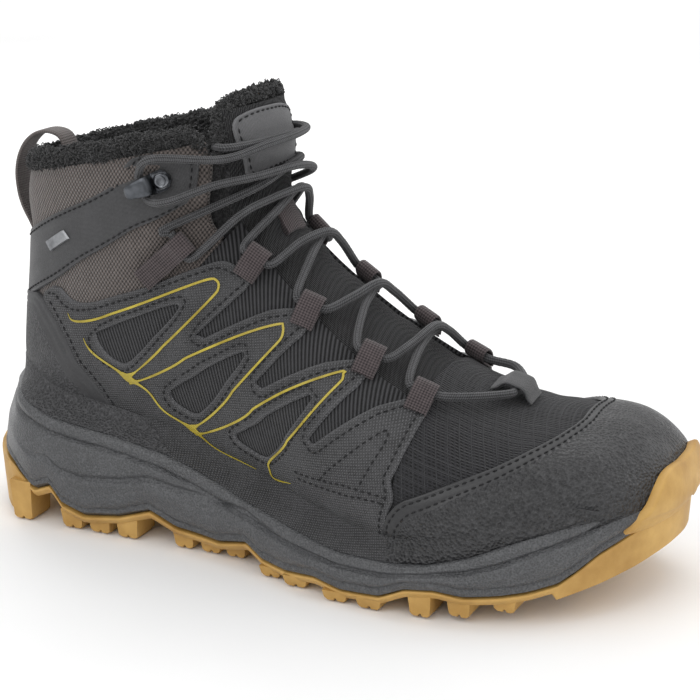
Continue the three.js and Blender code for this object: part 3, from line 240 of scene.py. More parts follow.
def grid_shell(bag, s, v, lo, hi, chart="arc", closed=False):
    """Closed plate between offset fields lo and hi over a grid of s by v."""
    S, W = np.meshgrid(s, v, indexing="ij"); f = lambda o: np.broadcast_to(o(S, W) if callable(o) else o, S.shape)
    A, B = L(S, W, f(lo)), L(S, W, f(hi)); ns, nv = S.shape; V = np.concatenate([A.reshape(-1, 3), B.reshape(-1, 3)]); F = []
    I = lambda l, i, j: l * ns * nv + i * nv + (j % nv)
    mj = nv if closed else nv - 1
    for i in range(ns - 1):
        for j in range(mj): F += [(I(0, i, j), I(0, i, j + 1), I(0, i + 1, j + 1), I(0, i + 1, j)), (I(1, i, j), I(1, i + 1, j), I(1, i + 1, j + 1), I(1, i, j + 1))]
    for j in range(mj): F += [(I(0, 0, j), I(1, 0, j), I(1, 0, j + 1), I(0, 0, j + 1)), (I(0, ns - 1, j), I(0, ns - 1, j + 1), I(1, ns - 1, j + 1), I(1, ns - 1, j))]
    if not closed:
        for i in range(ns - 1): F += [(I(0, i, 0), I(0, i + 1, 0), I(1, i + 1, 0), I(1, i, 0)), (I(0, i, nv - 1), I(1, i, nv - 1), I(1, i + 1, nv - 1), I(0, i + 1, nv - 1))]
    bag.add(V, outward(V, F), np.tile(chart_of(S.ravel(), W.ravel(), A.reshape(-1, 3), chart), (2, 1)))
_gs, _gv = np.linspace(0, NS - 1, 140), np.linspace(0, 1, 81); _G = surf(_gs[:, None], _gv[None])
_A = np.cumsum(np.concatenate([np.zeros((1, 81)), np.linalg.norm(np.diff(_G, axis=0), axis=2)]), 0); _B = np.cumsum(np.concatenate([np.zeros((140, 1)), np.linalg.norm(np.diff(_G, axis=1), axis=2)], 1), 1)
def bil(T, s, v):
    a = np.clip(s / (NS - 1) * 139, 0, 138.999); b = np.clip(np.abs(v) * 80, 0, 79.999); i, j = a.astype(int), b.astype(int); f, g = a - i, b - j
    return (T[i, j] * (1 - f) + T[i + 1, j] * f) * (1 - g) + (T[i, j + 1] * (1 - f) + T[i + 1, j + 1] * f) * g
def chart_of(s, v, P, kind):
    if kind == "xz": return P[:, [0, 2]]
    w = (v + 1) % 2 - 1; return np.column_stack([bil(_A, s, w), bil(_B, s, w) * np.sign(w)])
SC = np.array([18.0, 112.0])
def chaikin(P, n=2, closed=True):
    P = np.asarray(P, float)
    for _ in range(n):
        Q = np.roll(P, -1, 0) if closed else P[1:]; R = P if closed else P[:-1]
        M2 = np.stack([0.8 * R + 0.2 * Q, 0.2 * R + 0.8 * Q], 1).reshape(-1, P.shape[1]); P = M2 if closed else np.vstack([P[:1], M2, P[-1:]])
    return P
def resample(P, step, closed=True):
    P = np.vstack([P, P[:1]]) if closed else np.asarray(P); d = np.concatenate([[0], np.cumsum(np.linalg.norm(np.diff(P, axis=0), axis=1))])
    n = max(3, int(round(d[-1] / step))); t = np.linspace(0, d[-1], n + 1); t = t[:-1] if closed else t
    return np.stack([np.interp(t, d, P[:, q]) for q in range(P.shape[1])], 1)
def spline(P, step):
    P = np.asarray(P, float); Q = np.vstack([2 * P[0] - P[1], P, 2 * P[-1] - P[-2]]); out = []
    for i in range(1, len(Q) - 2):
        t = np.linspace(0, 1, 14, endpoint=False)[:, None]; a, b, c, d = Q[i - 1], Q[i], Q[i + 1], Q[i + 2]
        out.append(0.5 * (2 * b + (c - a) * t + (2 * a - 5 * b + 4 * c - d) * t**2 + (-a + 3 * b - 3 * c + d) * t**3))
    return resample(np.vstack(out + [P[-1:]]), step, False)
def inside(pts, loop):
    x, y = pts[:, 0:1], pts[:, 1:2]; a, b = loop, np.roll(loop, -1, 0)
    c = ((a[:, 1] > y) != (b[:, 1] > y)) & (x < (b[:, 0] - a[:, 0]) * (y - a[:, 1]) / np.where(b[:, 1] == a[:, 1], 1e-12, b[:, 1] - a[:, 1]) + a[:, 0])
    return c.sum(1) % 2 == 1
def edge_dist(pts, loops):
    best = np.full(len(pts), 1e9)
    for lp in loops:
        a, b = lp, np.roll(lp, -1, 0); d = b - a; q = (d**2).sum(1)
        for c in range(0, len(pts), 1500):
            p = pts[c:c + 1500, None]; t = np.clip(((p - a) * d).sum(2) / np.maximum(q, 1e-12), 0, 1)
            best[c:c + 1500] = np.minimum(best[c:c + 1500], np.linalg.norm(p - (a + t[..., None] * d), axis=2).min(1))
    return best
def inset(lp, w, loops, sign):
    t = unit(np.roll(lp, -1, 0) - np.roll(lp, 1, 0)); n = np.column_stack([-t[:, 1], t[:, 0]]); p = lp + n * w * sign
    return p, edge_dist(p, loops) > 0.93 * w
def area2(lp): b = np.roll(lp, -1, 0); return (lp[:, 0] * b[:, 1] - b[:, 0] * lp[:, 1]).sum() / 2
def panel(bag, loops, off0, off1, flip=1, step=2.4, rnd=0.8, groove=(2.2,), chart="xz", soft=2, puff=0.0, res=1.3):
    """Plate over outlines in (s, v): the first loop is the edge, the others are windows. Returns the chart loops."""
    ch = [resample(chaikin(np.asarray(lp) * SC, soft), res) for lp in loops]; pts, rings = list(ch), []
    for k, lp in enumerate(ch):
        sg = (1 if area2(lp) > 0 else -1) * (1 if k == 0 else -1)
        for w in [0.35, 0.8] + [g + e for g in groove for e in (-0.55, 0, 0.55)]:
            p, ok = inset(lp, w, ch, sg); rings.append(p[ok])
    lo, hi = ch[0].min(0), ch[0].max(0); gx, gy = np.arange(lo[0], hi[0], step), np.arange(lo[1], hi[1], step * 0.87)
    G = np.array([(x + (step / 2 if j % 2 else 0), y) for j, y in enumerate(gy) for x in gx])
    ok = inside(G, ch[0])
    for h in ch[1:]: ok &= ~inside(G, h)
    G = G[ok]; G = G[edge_dist(G, ch) > (max(groove) + 1.4 if groove else 1.6)]
    allp = np.vstack(pts + rings + [G]); edges, b = [], 0
    for lp in ch: edges += [(b + i, b + (i + 1) % len(lp)) for i in range(len(lp))]; b += len(lp)
    vs, _, fs, *_ = delaunay_2d_cdt([Vector(p) for p in allp], edges, [], 0, 1e-5)
    vs = np.array([list(p) for p in vs]); T = np.array([f for f in fs]); c = vs[T].mean(1); ok = inside(c, ch[0])
    for h in ch[1:]: ok &= ~inside(c, h)
    T = T[ok]; used = np.unique(T); mp = -np.ones(len(vs), int); mp[used] = np.arange(len(used)); T = mp[T]; vs = vs[used]
    d = edge_dist(vs, ch); u = np.clip(d / rnd, 0, 1); hgt = off0 + (off1 - off0) * (0.25 + 0.75 * np.sqrt(1 - (1 - u) ** 2))
    for g in groove: hgt = hgt - 0.26 * np.exp(-((d - g) / 0.45) ** 2)
    hgt = hgt + puff * (1 - np.exp(-d / 6))
    s, v = vs[:, 0] / SC[0], vs[:, 1] / SC[1] * flip; A, B = L(s, v, off0), L(s, v, hgt); n = len(vs); V = np.vstack([A, B])
    e = {}
    for t in T:
        for i in range(3):
            key = (t[i], t[(i + 1) % 3]); rev = (key[1], key[0])
            if rev in e: del e[rev]
            else: e[key] = 1
    F = [tuple(t[::-1]) for t in T] + [tuple(t + n) for t in T] + [(a, b2, b2 + n, a + n) for a, b2 in e]
    bag.add(V, outward(V, F), np.tile(chart_of(s, v, A, chart), (2, 1)), np.tile(d / 10, 2))
    return ch
STITCH = {"boot": Bag(), "tongue": Bag()}
def stitches(P, Nn, pitch=2.9, length=2.05, w=0.34, body="boot"):
    """Separate raised thread stitches along a 3-D path with normals."""
    d = np.concatenate([[0], np.cumsum(np.linalg.norm(np.diff(P, axis=0), axis=1))]); k = int(d[-1] / pitch)
    if k < 1: return
    for i in range(k):
        t = np.linspace(i * pitch, i * pitch + length, 5); p = np.stack([np.interp(t, d, P[:, q]) for q in range(3)], 1); n = unit(np.stack([np.interp(t, d, Nn[:, q]) for q in range(3)], 1))
        T = unit(p[-1] - p[0] + 1e-9); b = unit(np.cross(T, n)); r = np.array([0.35, 0.9, 1, 0.9, 0.35]) * w; lift = np.array([-0.18, 0.1, 0.16, 0.1, -0.18]) * 1.2
        V = np.concatenate([p[q] + n[q] * lift[q] + r[q] * (np.cos(a) * b[q] + np.sin(a) * n[q])[None] for q in range(5) for a in np.arange(6) * math.pi / 3])
        F = [(q * 6 + j, q * 6 + (j + 1) % 6, (q + 1) * 6 + (j + 1) % 6, (q + 1) * 6 + j) for q in range(4) for j in range(6)] + [tuple(range(5, -1, -1)), tuple(range(24, 30))]
        STITCH[body].add(V, outward(V, F))
def stitch_loop(ch, k, w, off, flip=1, body="boot", vmax=None, **kw):
    sg = (1 if area2(ch[k]) > 0 else -1) * (1 if k == 0 else -1); p, ok = inset(ch[k], w, ch, sg)
    s, v = p[:, 0] / SC[0], p[:, 1] / SC[1]
    if vmax: ok = ok & vmax(s, v)
    st = np.where(~ok)[0]; seq = np.arange(len(p)); seq = np.roll(seq, -st[0]) if len(st) else np.append(seq, 0); run = []
    for i in list(seq) + [None]:
        if i is not None and ok[i]: run.append(i); continue
        if len(run) > 3: stitches(L(s[run], v[run] * flip, off), N(s[run], v[run] * flip), body=body, **kw)
        run = []
def stitch_path(sv, off, flip=1, body="boot", **kw):
    q = spline(np.asarray(sv) * SC, 1.2) / SC; stitches(L(q[:, 0], q[:, 1] * flip, off), N(q[:, 0], q[:, 1] * flip), body=body, **kw)
def tube(bag, P, r, sides=12, up=None, caps=True, flat=1.0):
    P = np.asarray(P, float); T = unit(np.gradient(P, axis=0)); n = unit(np.cross(T[0], [0.3, 0.2, 0.9])); R = np.broadcast_to(r, len(P)); rings = []; frames = []
    for i in range(len(P)):
        n = unit(n - T[i] * n.dot(T[i])); b = np.cross(T[i], n); frames.append((n, b))
        a = np.arange(sides) * 2 * math.pi / sides; rings.append(P[i] + R[i] * (np.cos(a)[:, None] * n + flat * np.sin(a)[:, None] * b))
    V = np.concatenate(rings); d = np.concatenate([[0], np.cumsum(np.linalg.norm(np.diff(P, axis=0), axis=1))]); F = []
    for i in range(len(P) - 1):
        for j in range(sides): F.append((i * sides + j, i * sides + (j + 1) % sides, (i + 1) * sides + (j + 1) % sides, (i + 1) * sides + j))
    F += [tuple(range(sides - 1, -1, -1)), tuple(range((len(P) - 1) * sides, len(P) * sides))]
    a = np.abs((np.arange(sides) / sides * 2 + 1) % 2 - 1) * math.pi * R.mean()
    bag.add(V, outward(V, F), np.column_stack([np.repeat(d, sides), np.tile(a, len(P))])); return frames, V.reshape(len(P), sides, 3)
def band(bag, P, side, half, thick, ribs=0.0, pitch=1.0):
    """Webbing along P: side is the width direction, half the half width (number or one per point)."""
    P = np.asarray(P, float); T = unit(np.gradient(P, axis=0)); W = unit(np.broadcast_to(side, P.shape) - 0 * T); W = unit(W - T * (W * T).sum(1)[:, None]); U = np.cross(T, W)
    d = np.concatenate([[0], np.cumsum(np.linalg.norm(np.diff(P, axis=0), axis=1))]); h = np.broadcast_to(half, len(P)); th = thick / 2 + ribs * np.sin(2 * math.pi * d / pitch)
    prof = [(-1, -.35), (-.93, -.9), (-.5, -1), (0, -1), (.5, -1), (.93, -.9), (1, -.35), (1, .35), (.93, .9), (.5, 1), (0, 1), (-.5, 1), (-.93, .9), (-1, .35)]; m = len(prof)
    V = np.concatenate([[P[i] + W[i] * h[i] * a + U[i] * th[i] * b for a, b in prof] for i in range(len(P))])
    F = [(i * m + j, i * m + (j + 1) % m, (i + 1) * m + (j + 1) % m, (i + 1) * m + j) for i in range(len(P) - 1) for j in range(m)] + [tuple(range(m - 1, -1, -1)), tuple(range((len(P) - 1) * m, len(P) * m))]
    bag.add(V, outward(V, F), np.array([(d[i], h[i] * a) for i in range(len(P)) for a, _ in prof]))
def fibres(bag, P, Nn, length=2.4, w=0.3):
    """Small closed loops of pile that curl over and back into the surface."""
    n = len(P); P = P - Nn * 0.35; a = unit(np.cross(Nn, RNG.normal(size=(n, 3)))); b = np.cross(Nn, a); K = 6
    R = length * RNG.uniform(0.28, 0.55, n); H = length * RNG.uniform(0.45, 1.0, n); lean = RNG.uniform(-0.5, 0.5, n); tw = RNG.uniform(-0.5, 0.5, n); out = []
    for k in range(K):
        t = math.pi * k / (K - 1); c = P + a * (R * -math.cos(t))[:, None] + Nn * (H * math.sin(t))[:, None] + b * ((lean * math.sin(t) + tw * math.cos(t)) * length * 0.5)[:, None]
        rad = unit(a * -math.cos(t) * 0.8 + Nn * (math.sin(t) + 0.15))
        out += [c + (math.cos(q) * b + math.sin(q) * rad) * w for q in (0, 2.094, 4.189)]
    V = np.stack(out, 1); F = [(q * 3 + j, q * 3 + (j + 1) % 3, q * 3 + 3 + (j + 1) % 3, q * 3 + 3 + j) for q in range(K - 1) for j in range(3)] + [(2, 1, 0), (K * 3 - 3, K * 3 - 2, K * 3 - 1)]
    F = outward(V[0], F); m = K * 3; bag.add(V.reshape(-1, 3), [tuple(i * m + q for q in f) for i in range(n) for f in F])

LACE_LOWER = [[91.77, -35.49, 125.18], [95.72, -34.51, 120.61], [99.67, -33.53, 116.04], [115.03, -24.81, 131.33], [122.79, -14.18, 136.41], [129.37, 0.0, 138.72], [125.83, 11.92, 132.84], [118.32, 26.05, 120.66], [123.2, 24.75, 117.2], [128.07, 23.44, 113.74], [133.71, 10.24, 119.61], [136.95, -1.18, 119.75], [138.7, -12.94, 115.14], [140.01, -27.36, 104.22], [145.57, -26.17, 101.95], [151.12, -24.97, 99.67], [157.31, -15.76, 102.76], [161.77, -2.76, 105.36], [162.5, 9.84, 99.03], [165.69, 22.03, 88.87], [171.19, 20.61, 86.6], [176.69, 19.19, 84.32], [180.68, 9.95, 86.27], [182.31, -2.76, 87.34], [183.87, -16.95, 84.45], [186.72, -30.57, 77.54], [192.34, -29.5, 75.35], [197.95, -28.42, 73.16], [208.89, -22.63, 72.63], [217.47, -9.91, 71.06], [217.24, -4.91, 71.12], [216.86, -0.43, 71.23], [216.48, 4.05, 71.33], [215.87, 9.02, 71.51], [208.72, 17.78, 72.63], [197.92, 19.93, 73.32], [192.23, 21.06, 75.28], [186.55, 22.2, 77.23], [184.66, 10.46, 85.99], [184.52, -2.76, 91.26], [181.53, -17.2, 87.84], [176.68, -27.2, 84.45], [171.14, -28.46, 86.72], [165.59, -29.72, 88.98], [161.46, -15.94, 97.64], [159.17, -2.76, 101.69], [156.44, 9.49, 101.24], [151.15, 19.81, 99.2], [145.83, 21.36, 101.8], [140.5, 22.91, 104.39], [140.01, 10.55, 116.28], [140.17, -1.18, 122.89], [134.73, -12.78, 120.98], [128.07, -24.57, 114.21], [122.9, -25.37, 117.4], [117.73, -26.16, 120.58], [124.35, -11.27, 132.04], [125.3, 0.0, 136.8], [121.36, 13.35, 135.72], [115.03, 24.81, 131.33], [99.67, 33.53, 116.04], [95.72, 34.51, 120.61], [91.77, 35.49, 125.18]]
LACE_UPPER = {"medial": [[91.54, -35.55, 125.44], [90.25, -35.87, 126.93], [118.56, -18.47, 140.91], [123.73, 0.0, 147.02], [118.73, 18.92, 146.29], [108.57, 31.45, 143.58], [94.77, 41.64, 138.47], [86.09, 40.28, 137.87], [83.47, 40.41, 142.64], [82.14, 40.32, 147.92], [89.2, 41.63, 154.01], [110.4, 29.13, 153.4], [119.54, 15.01, 156.79], [122.51, 0.0, 158.14], [118.28, -17.75, 157.59], [112.13, -27.03, 157.16], [105.35, -23.67, 156.6], [100.5, -17.5, 154.66], [99.11, -15.54, 148.39]], "lateral": [[91.54, 35.55, 125.44], [90.25, 35.87, 126.93], [122.11, 20.71, 140.9], [127.93, 0.0, 147.14], [120.92, -20.14, 146.05], [108.57, -31.45, 143.58], [94.77, -41.64, 138.47], [86.09, -40.28, 137.87], [83.47, -40.41, 142.64], [82.14, -40.32, 147.92], [89.2, -41.63, 154.01], [111.46, -30.43, 153.46], [122.61, -16.33, 157.1], [126.67, 0.0, 158.71], [121.23, 19.32, 157.92], [112.13, 27.03, 157.16], [105.35, 23.67, 156.6], [100.5, 17.5, 154.66], [99.11, 15.54, 148.39]]}
LOOP_FRAMES = {"a_lateral": [[94.9132, -31.2042, 120.6247], [0.2684, -0.963, 0.0248], [-0.7149, -0.2164, -0.665], [-0.6457, -0.1607, 0.7465]],
    "a_medial": [[94.9132, 31.2042, 120.6247], [0.2684, 0.963, 0.0248], [-0.7149, 0.2164, -0.665], [-0.6457, 0.1607, 0.7465]],
    "b_lateral": [[121.5866, -22.5735, 115.9633], [0.4022, -0.7955, 0.4532], [-0.3546, -0.5917, -0.724], [-0.8441, -0.1305, 0.52]],
    "b_medial": [[121.5866, 22.0135, 115.9633], [0.4891, 0.7773, 0.3958], [-0.3546, 0.5917, -0.724], [-0.7969, 0.2138, 0.565]],
    "c_lateral": [[144.2019, -23.917, 99.7926], [0.4067, -0.6291, 0.6625], [-0.1045, -0.7524, -0.6503], [-0.9076, -0.1952, 0.3717]],
    "c_medial": [[144.2019, 19.1378, 99.7926], [0.4823, 0.62, 0.6188], [-0.1063, 0.7426, -0.6613], [-0.8695, 0.2532, 0.4241]],
    "d_lateral": [[169.7064, -26.6508, 84.2143], [0.4222, -0.4947, 0.7596], [-0.0265, -0.8444, -0.5351], [-0.9061, -0.2058, 0.3696]],
    "d_medial": [[169.7064, 18.687, 84.2143], [0.437, 0.5303, 0.7265], [-0.0287, 0.8155, -0.578], [-0.899, 0.2318, 0.3716]],
    "e_lateral": [[190.9795, -27.9738, 72.6275], [0.3989, -0.4084, 0.821], [-0.0018, -0.8957, -0.4447], [-0.917, -0.1759, 0.358]],
    "e_medial": [[190.9795, 19.3341, 72.6275], [0.3691, 0.4706, 0.8015], [-0.0021, 0.8628, -0.5056], [-0.9294, 0.185, 0.3194]]}
KEEPER = [[216.0, -0.4375, 68.3542], [-0.954, -0.0875, 0.2868], [0.2877, 0.002, 0.9577], [-0.0844, 0.9962, 0.0233]]
HOOKS = {"lateral": [[83.5401, -36.2478, 142.6821], [0.141, -0.9887, 0.0514], [-0.9201, -0.1501, -0.3619], [-0.3655, -0.0038, 0.9308]], "medial": [[83.5401, 36.2478, 142.6821], [0.141, 0.9887, 0.0514], [-0.9201, 0.1501, -0.3619], [0.3655, -0.0038, -0.9308]]}

mirror = (("lateral", 1), ("medial", -1))
lin = np.linspace

# ---------------------------------------------------------------- textile skins and lining
b = Bag(); grid_shell(b, lin(0.35, 6.49, 90), lin(-0.875, 0.875, 150), -1.5, lambda s, v: 0.0 * s + 0.25 * np.sin(s * 9) * np.exp(-((np.abs(v) - .25) / .12) ** 2))
emit(b, "vamp_ripstop_panel", "ripstop", nodes=["vamp_textile"], angle=60)
for nm, sd in mirror:
    b = Bag(); grid_shell(b, lin(6.51, 11.99, 90), lin(0.1875, 0.875, 80) * sd, -1.5, 0.0, "xz"); emit(b, "quarter_rib_panel_" + nm, "quarter_textile", nodes=["quarter_textile_" + nm], angle=60)
    pad = lambda s, v: 1.9 * np.exp(-((s - 17.35) / .62) ** 2) * (1 - np.exp(-((np.abs(v) - .25) / .1) ** 2)) + 0.8 * np.exp(-((s - 14.2) / .55) ** 2) * np.exp(-((np.abs(v) - .42) / .14) ** 2)
    b = Bag(); grid_shell(b, lin(12.01, 18.05, 110), lin(0.25, 0.997, 110) * sd, -1.5, pad, "xz"); t = lin(12.1, 17.15, 90); tube(b, L(t, 0.2515 * sd + 0 * t, -2.1), 1.7 + 0 * t, 12, flat=1.0); o = emit(b, "collar_weave_panel_" + nm, "collar_textile", nodes=["collar_textile_" + nm], angle=60)
b = Bag(); grid_shell(b, lin(6, 18.25, 110), lin(0.25, 1.75, 150), -5.8, lambda s, v: -3.1 + 0 * s); grid_shell(b, lin(1, 5.98, 40), lin(-1, 1, 91)[:-1], -5.8, -3.1, closed=True)
for sd in (1, -1): grid_shell(b, lin(12, 17.4, 50), lin(.205, .262, 9) * sd, -5.6, -4.0)
q = RNG.uniform(size=(5000, 2)); s, v = 15.6 + 2.6 * q[:, 0], 0.27 + 1.46 * q[:, 1]; fibres(b, L(s, v, -5.7), -N(s, v), 2.3, 0.42)
emit(b, "fleece_bootie", "fleece", nodes=["lining_bootie"], angle=180)
b = Bag(); v = lin(0.30, 1.70, 150); a = L(18, v); upv = unit(L(18.9, v) - a); P = a + upv * (3.7 + 0.3 * np.sin(v * 47) + 0.2 * np.sin(v * 83 + 1))[:, None] - N(18.0, v) * 2.3
turn = lambda sg: [L(17.0, 1 - .747 * sg, -2.6), L(17.5, 1 - .742 * sg, -2.2), L(17.92, 1 - .728 * sg, -2.0) + upv[0] * 1.2]
P = spline(np.vstack([turn(1), P, turn(-1)[::-1]]), 1.3); t = np.minimum(np.arange(len(P)), len(P) - 1 - np.arange(len(P))) / 12.0
tube(b, P, np.interp(t, [0, .25, 1.2, 2.2], [0.5, 1.7, 2.7, 3.45]) + 0.18 * np.sin(np.arange(len(P)) * 1.7), 20)
V = b.V[0]; c = np.repeat(P, 20, 0); n = unit(V - c); b.V[0] = V + n * (RNG.normal(size=(len(V), 1)) * 0.25); idx = RNG.integers(0, len(V), 15000); fibres(b, b.V[0][idx] + RNG.normal(size=(15000, 3)) * 0.4, n[idx], 1.35, 0.27)
o = emit(b, "collar_fleece_roll", "fleece", nodes=["collar_rim_fleece"], angle=180)

# ---------------------------------------------------------------- overlays, counter, cap, straps
W = [[(13.08,.533),(11.86,.409),(11.65,.411),(11.92,.550),(12.02,.571),(12.33,.568),(12.88,.543)], [(11.01,.577),(9.91,.405),(9.76,.402),(10.31,.602),(10.45,.616),(10.84,.607)], [(9.63,.596),(8.33,.359),(8.21,.359),(8.89,.583),(9.04,.615),(9.54,.621)]]
OV = [(15.02,.628),(14.2,.56),(13.56,.481),(12.75,.399),(12.17,.340),(11.53,.277),(10.94,.261),(10.29,.240),(11.16,.492),(9.26,.216),(8.59,.197),(9.62,.503),(7.84,.201),(7.31,.187),(8.37,.520),(6.81,.201),(6.27,.184),
      (6.35,.287),(6.46,.378),(6.55,.417),(6.42,.453),(6.56,.52),(6.6,.66),(6.6,.8),(8,.815),(10,.815),(11.5,.81),(11.71,.735),(12.37,.648),(13.24,.607),(14.2,.634),(15.05,.70)]
GOLD = [[(14.11,.584),(13.78,.569),(13.09,.492),(12.34,.416),(11.52,.332),(11.25,.319),(11.09,.328),(11.09,.352),(11.38,.46),(11.70,.565),(11.82,.592)], [(13.17,.560),(12.56,.575),(11.87,.592),(11.34,.606),(10.93,.646),(10.37,.668),(9.88,.714),(9.20,.695)],
        [(11.74,.602),(11.51,.580),(10.75,.471),(9.39,.291),(9.23,.281),(9.17,.294),(9.21,.325),(9.7,.47),(10.24,.626),(10.42,.664)], [(10.33,.680),(10.11,.650),(9.06,.451),(7.91,.260),(7.83,.259),(7.83,.281),(8.3,.43),(8.85,.589),(8.89,.644),(8.82,.677),(8.46,.626)]]
BLOB = [(11.78,.597), (10.37,.670)]
for nm, sd in mirror:
    b = Bag(); ch = panel(b, [OV] + W, 0.3, 1.5, sd, soft=1); emit(b, "quarter_overlay_film_" + nm, "overlay_film", nodes=["quarter_overlay_" + nm])
    for kk in range(4): stitch_loop(ch, kk, 2.2, 1.36, sd, vmax=lambda s, v: v < 0.7)
    stitch_path([(8.37,.559),(7.69,.510),(7.0,.476),(6.42,.458)], 1.5, sd); stitch_path([(8.30,.574),(7.62,.527),(6.95,.493),(6.45,.474)], 1.5, sd)
    c1 = np.mean(W[0], 0); g = Bag(); panel(g, [[tuple(c1 + (np.array(q) - c1) * 1.14) for q in W[0]]], 0.04, 0.27, sd, groove=(), soft=1); emit(g, "window_rib_" + nm, "quarter_textile")
    stitch_path([(7.85,.518),(7.3,.40),(6.86,.31),(6.76,.306),(6.8,.35),(7.10,.474)], 1.5, sd)
    g = Bag()
    for line in GOLD:
        q = spline(np.asarray(line) * SC, 1.0) / SC; P, n = L(q[:, 0], q[:, 1] * sd, 1.74), N(q[:, 0], q[:, 1] * sd)
        w = 0.46 * np.minimum(1, 0.25 + np.minimum(np.arange(len(P)), len(P) - 1 - np.arange(len(P))) / 10.0)
        for bs, bv in BLOB: w = w + 1.25 * np.exp(-(np.linalg.norm(P - L(bs, bv * sd, 1.6), axis=1) / 3.4) ** 2)
        band(g, P, np.cross(n, unit(np.gradient(P, axis=0))), w, 0.14)
    emit(g, "gold_print_" + nm, "gold")
half = [(15.35,.81),(15.08,.70),(14.2,.62),(13.24,.593),(12.37,.633),(11.71,.717),(11.95,.80),(12.5,.86),(12.95,.93)]
ctr = [(15.38,1.0)] + half + [(13.05,1.0)] + [(s, 2 - v) for s, v in half[::-1]]
b = Bag(); ch = panel(b, [ctr], 0.55, 1.95, 1, groove=(1.9, 4.0), chart="arc", soft=1); emit(b, "heel_counter_guard", "counter_grain", nodes=["heel_counter"])
edgev = [(3.74,0.0),(3.72,.097),(4.05,.186),(4.67,.272),(5.39,.351),(5.91,.410),(6.34,.456),(6.6,.52),(6.68,.62),(6.68,.8)]
cap = edgev + [(3.5,.81),(0.5,.8),(0.36,.4),(0.36,0),(0.36,-.4),(0.5,-.8),(3.5,-.81)] + [(s, -v) for s, v in edgev[::-1][:-1]]
b = Bag(); ch = panel(b, [cap], 0.3, 1.75, 1, groove=(1.6, 4.3), chart="arc", soft=1); emit(b, "toe_cap_guard", "rubberised_guard", nodes=["toe_cap"])
for w in (1.6, 4.3): stitch_loop(ch, 0, w, 1.6, 1, vmax=lambda s, v: (s > 3.2) & (np.abs(v) < .62))
top = [(16.60,.812),(16.80,.623),(16.87,.536),(17.0,.492),(17.53,.470),(17.99,.442),(18.03,.404),(17.89,.359),(17.40,.272)]; bot = [(14.93,.285),(14.99,.372),(15.21,.434),(15.17,.479),(15.21,.544),(15.14,.628),(15.18,.713)]
for nm, sd in mirror:
    st = [(16.55,.996)] + top + bot + [(15.2,.85),(15.25,.996)]
    b = Bag(); ch = panel(b, [st], 0.3, 1.5, sd, soft=1); emit(b, "collar_strap_band_" + nm, "strap_synthetic", nodes=["collar_strap_" + nm]); stitch_loop(ch, 0, 2.2, 1.36, sd, vmax=lambda s, v: v < .97)
b = Bag(); panel(b, [[(16.15,.678),(16.26,.606),(15.95,.583),(15.85,.652)]], 1.75, 2.5, 1, step=1.5, rnd=0.4, groove=(), soft=0, res=0.45); emit(b, "side_tag_film", "tag", nodes=["side_tag"])

# ---------------------------------------------------------------- tongue: one padded piece over the instep, in place of the lower and upper tongue parts
def tng(s, v):
    e = 1 - (np.abs(v) / 0.20) ** 4; up_ = 1 / (1 + np.exp(-(s - 12.2) / .35)); base = -1.9 + 3.1 * up_
    return base + e * (0.5 + 0.55 * np.sin(s * 5.2) * (1 - .5 * up_)) + 0.25 * np.sin(s * 11 + 2 * v) * e
b = Bag(); grid_shell(b, lin(6.2, 18.9, 210), lin(-0.19, 0.19, 60), lambda s, v: -5.0 + 2.0 / (1 + np.exp(-(s - 12.2) / .35)), tng)
o = emit(b, "tongue_padded", "tongue_textile", body=None, nodes=["tongue_lower", "tongue_upper"], angle=70)
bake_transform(o)
b = Bag(); grid_shell(b, lin(13, 18.95, 60), lin(-0.1875, 0.1875, 50), -9.5, -3.5)
E = spline(np.array([(16.1,.195),(17.0,.203),(18.2,.203),(19.0,.165),(19.25,.08),(19.28,0),(19.25,-.08),(19.0,-.165),(18.2,-.203),(17.0,-.203),(16.1,-.195)]) * SC, 1.1) / SC
over_top = np.maximum(0, E[:, 0] - 18.95); E[:, 0] = np.minimum(E[:, 0], 18.95); P = L(E[:, 0], E[:, 1], -2.2) + np.column_stack([0 * over_top, 0 * over_top, over_top * 6]); k0 = b.n
t = np.minimum(np.arange(len(P)), len(P) - 1 - np.arange(len(P))) / 12.0; tube(b, P, np.interp(t, [0, .3, 1.5], [0.6, 1.7, 2.5]) + 0.18 * np.sin(np.arange(len(P)) * 1.9), 16); V = b.V[-1]; c = np.repeat(P, 16, 0); n = unit(V - c); b.V[-1] = V + n * RNG.normal(size=(len(V), 1)) * 0.3
idx = RNG.integers(0, len(V), 8000); fibres(b, b.V[1][idx] + RNG.normal(size=(8000, 3)) * 0.35, n[idx], 1.35, 0.27)
o = emit(b, "tongue_fleece", "fleece", "tongue", ["tongue_lining"], angle=180)
pt = [(18.62,.17),(17.7,.165),(16,.15),(14.3,.14),(14.2,-.10),(16,-.125),(17.7,-.13),(18.5,-.12),(18.75,-.02),(18.78,.09)]
b = Bag(); ch = panel(b, [pt], 1.9, 2.9, 1, groove=(1.9,), chart="arc", soft=2); emit(b, "tongue_patch_skin", "tongue_patch", "tongue", ["tongue_patch"]); stitch_loop(ch, 0, 1.9, 2.75, 1, body="tongue")

b = Bag(); ch = panel(b, [[(11.52, .070), (11.46, -.048), (10.38, -.040), (10.44, .074)]], -2.2, 0.3, 1, step=1.6, rnd=0.5, groove=(), chart="arc", soft=0, res=0.7)
o = emit(b, "tongue_keeper_band", "webbing", None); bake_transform(o)

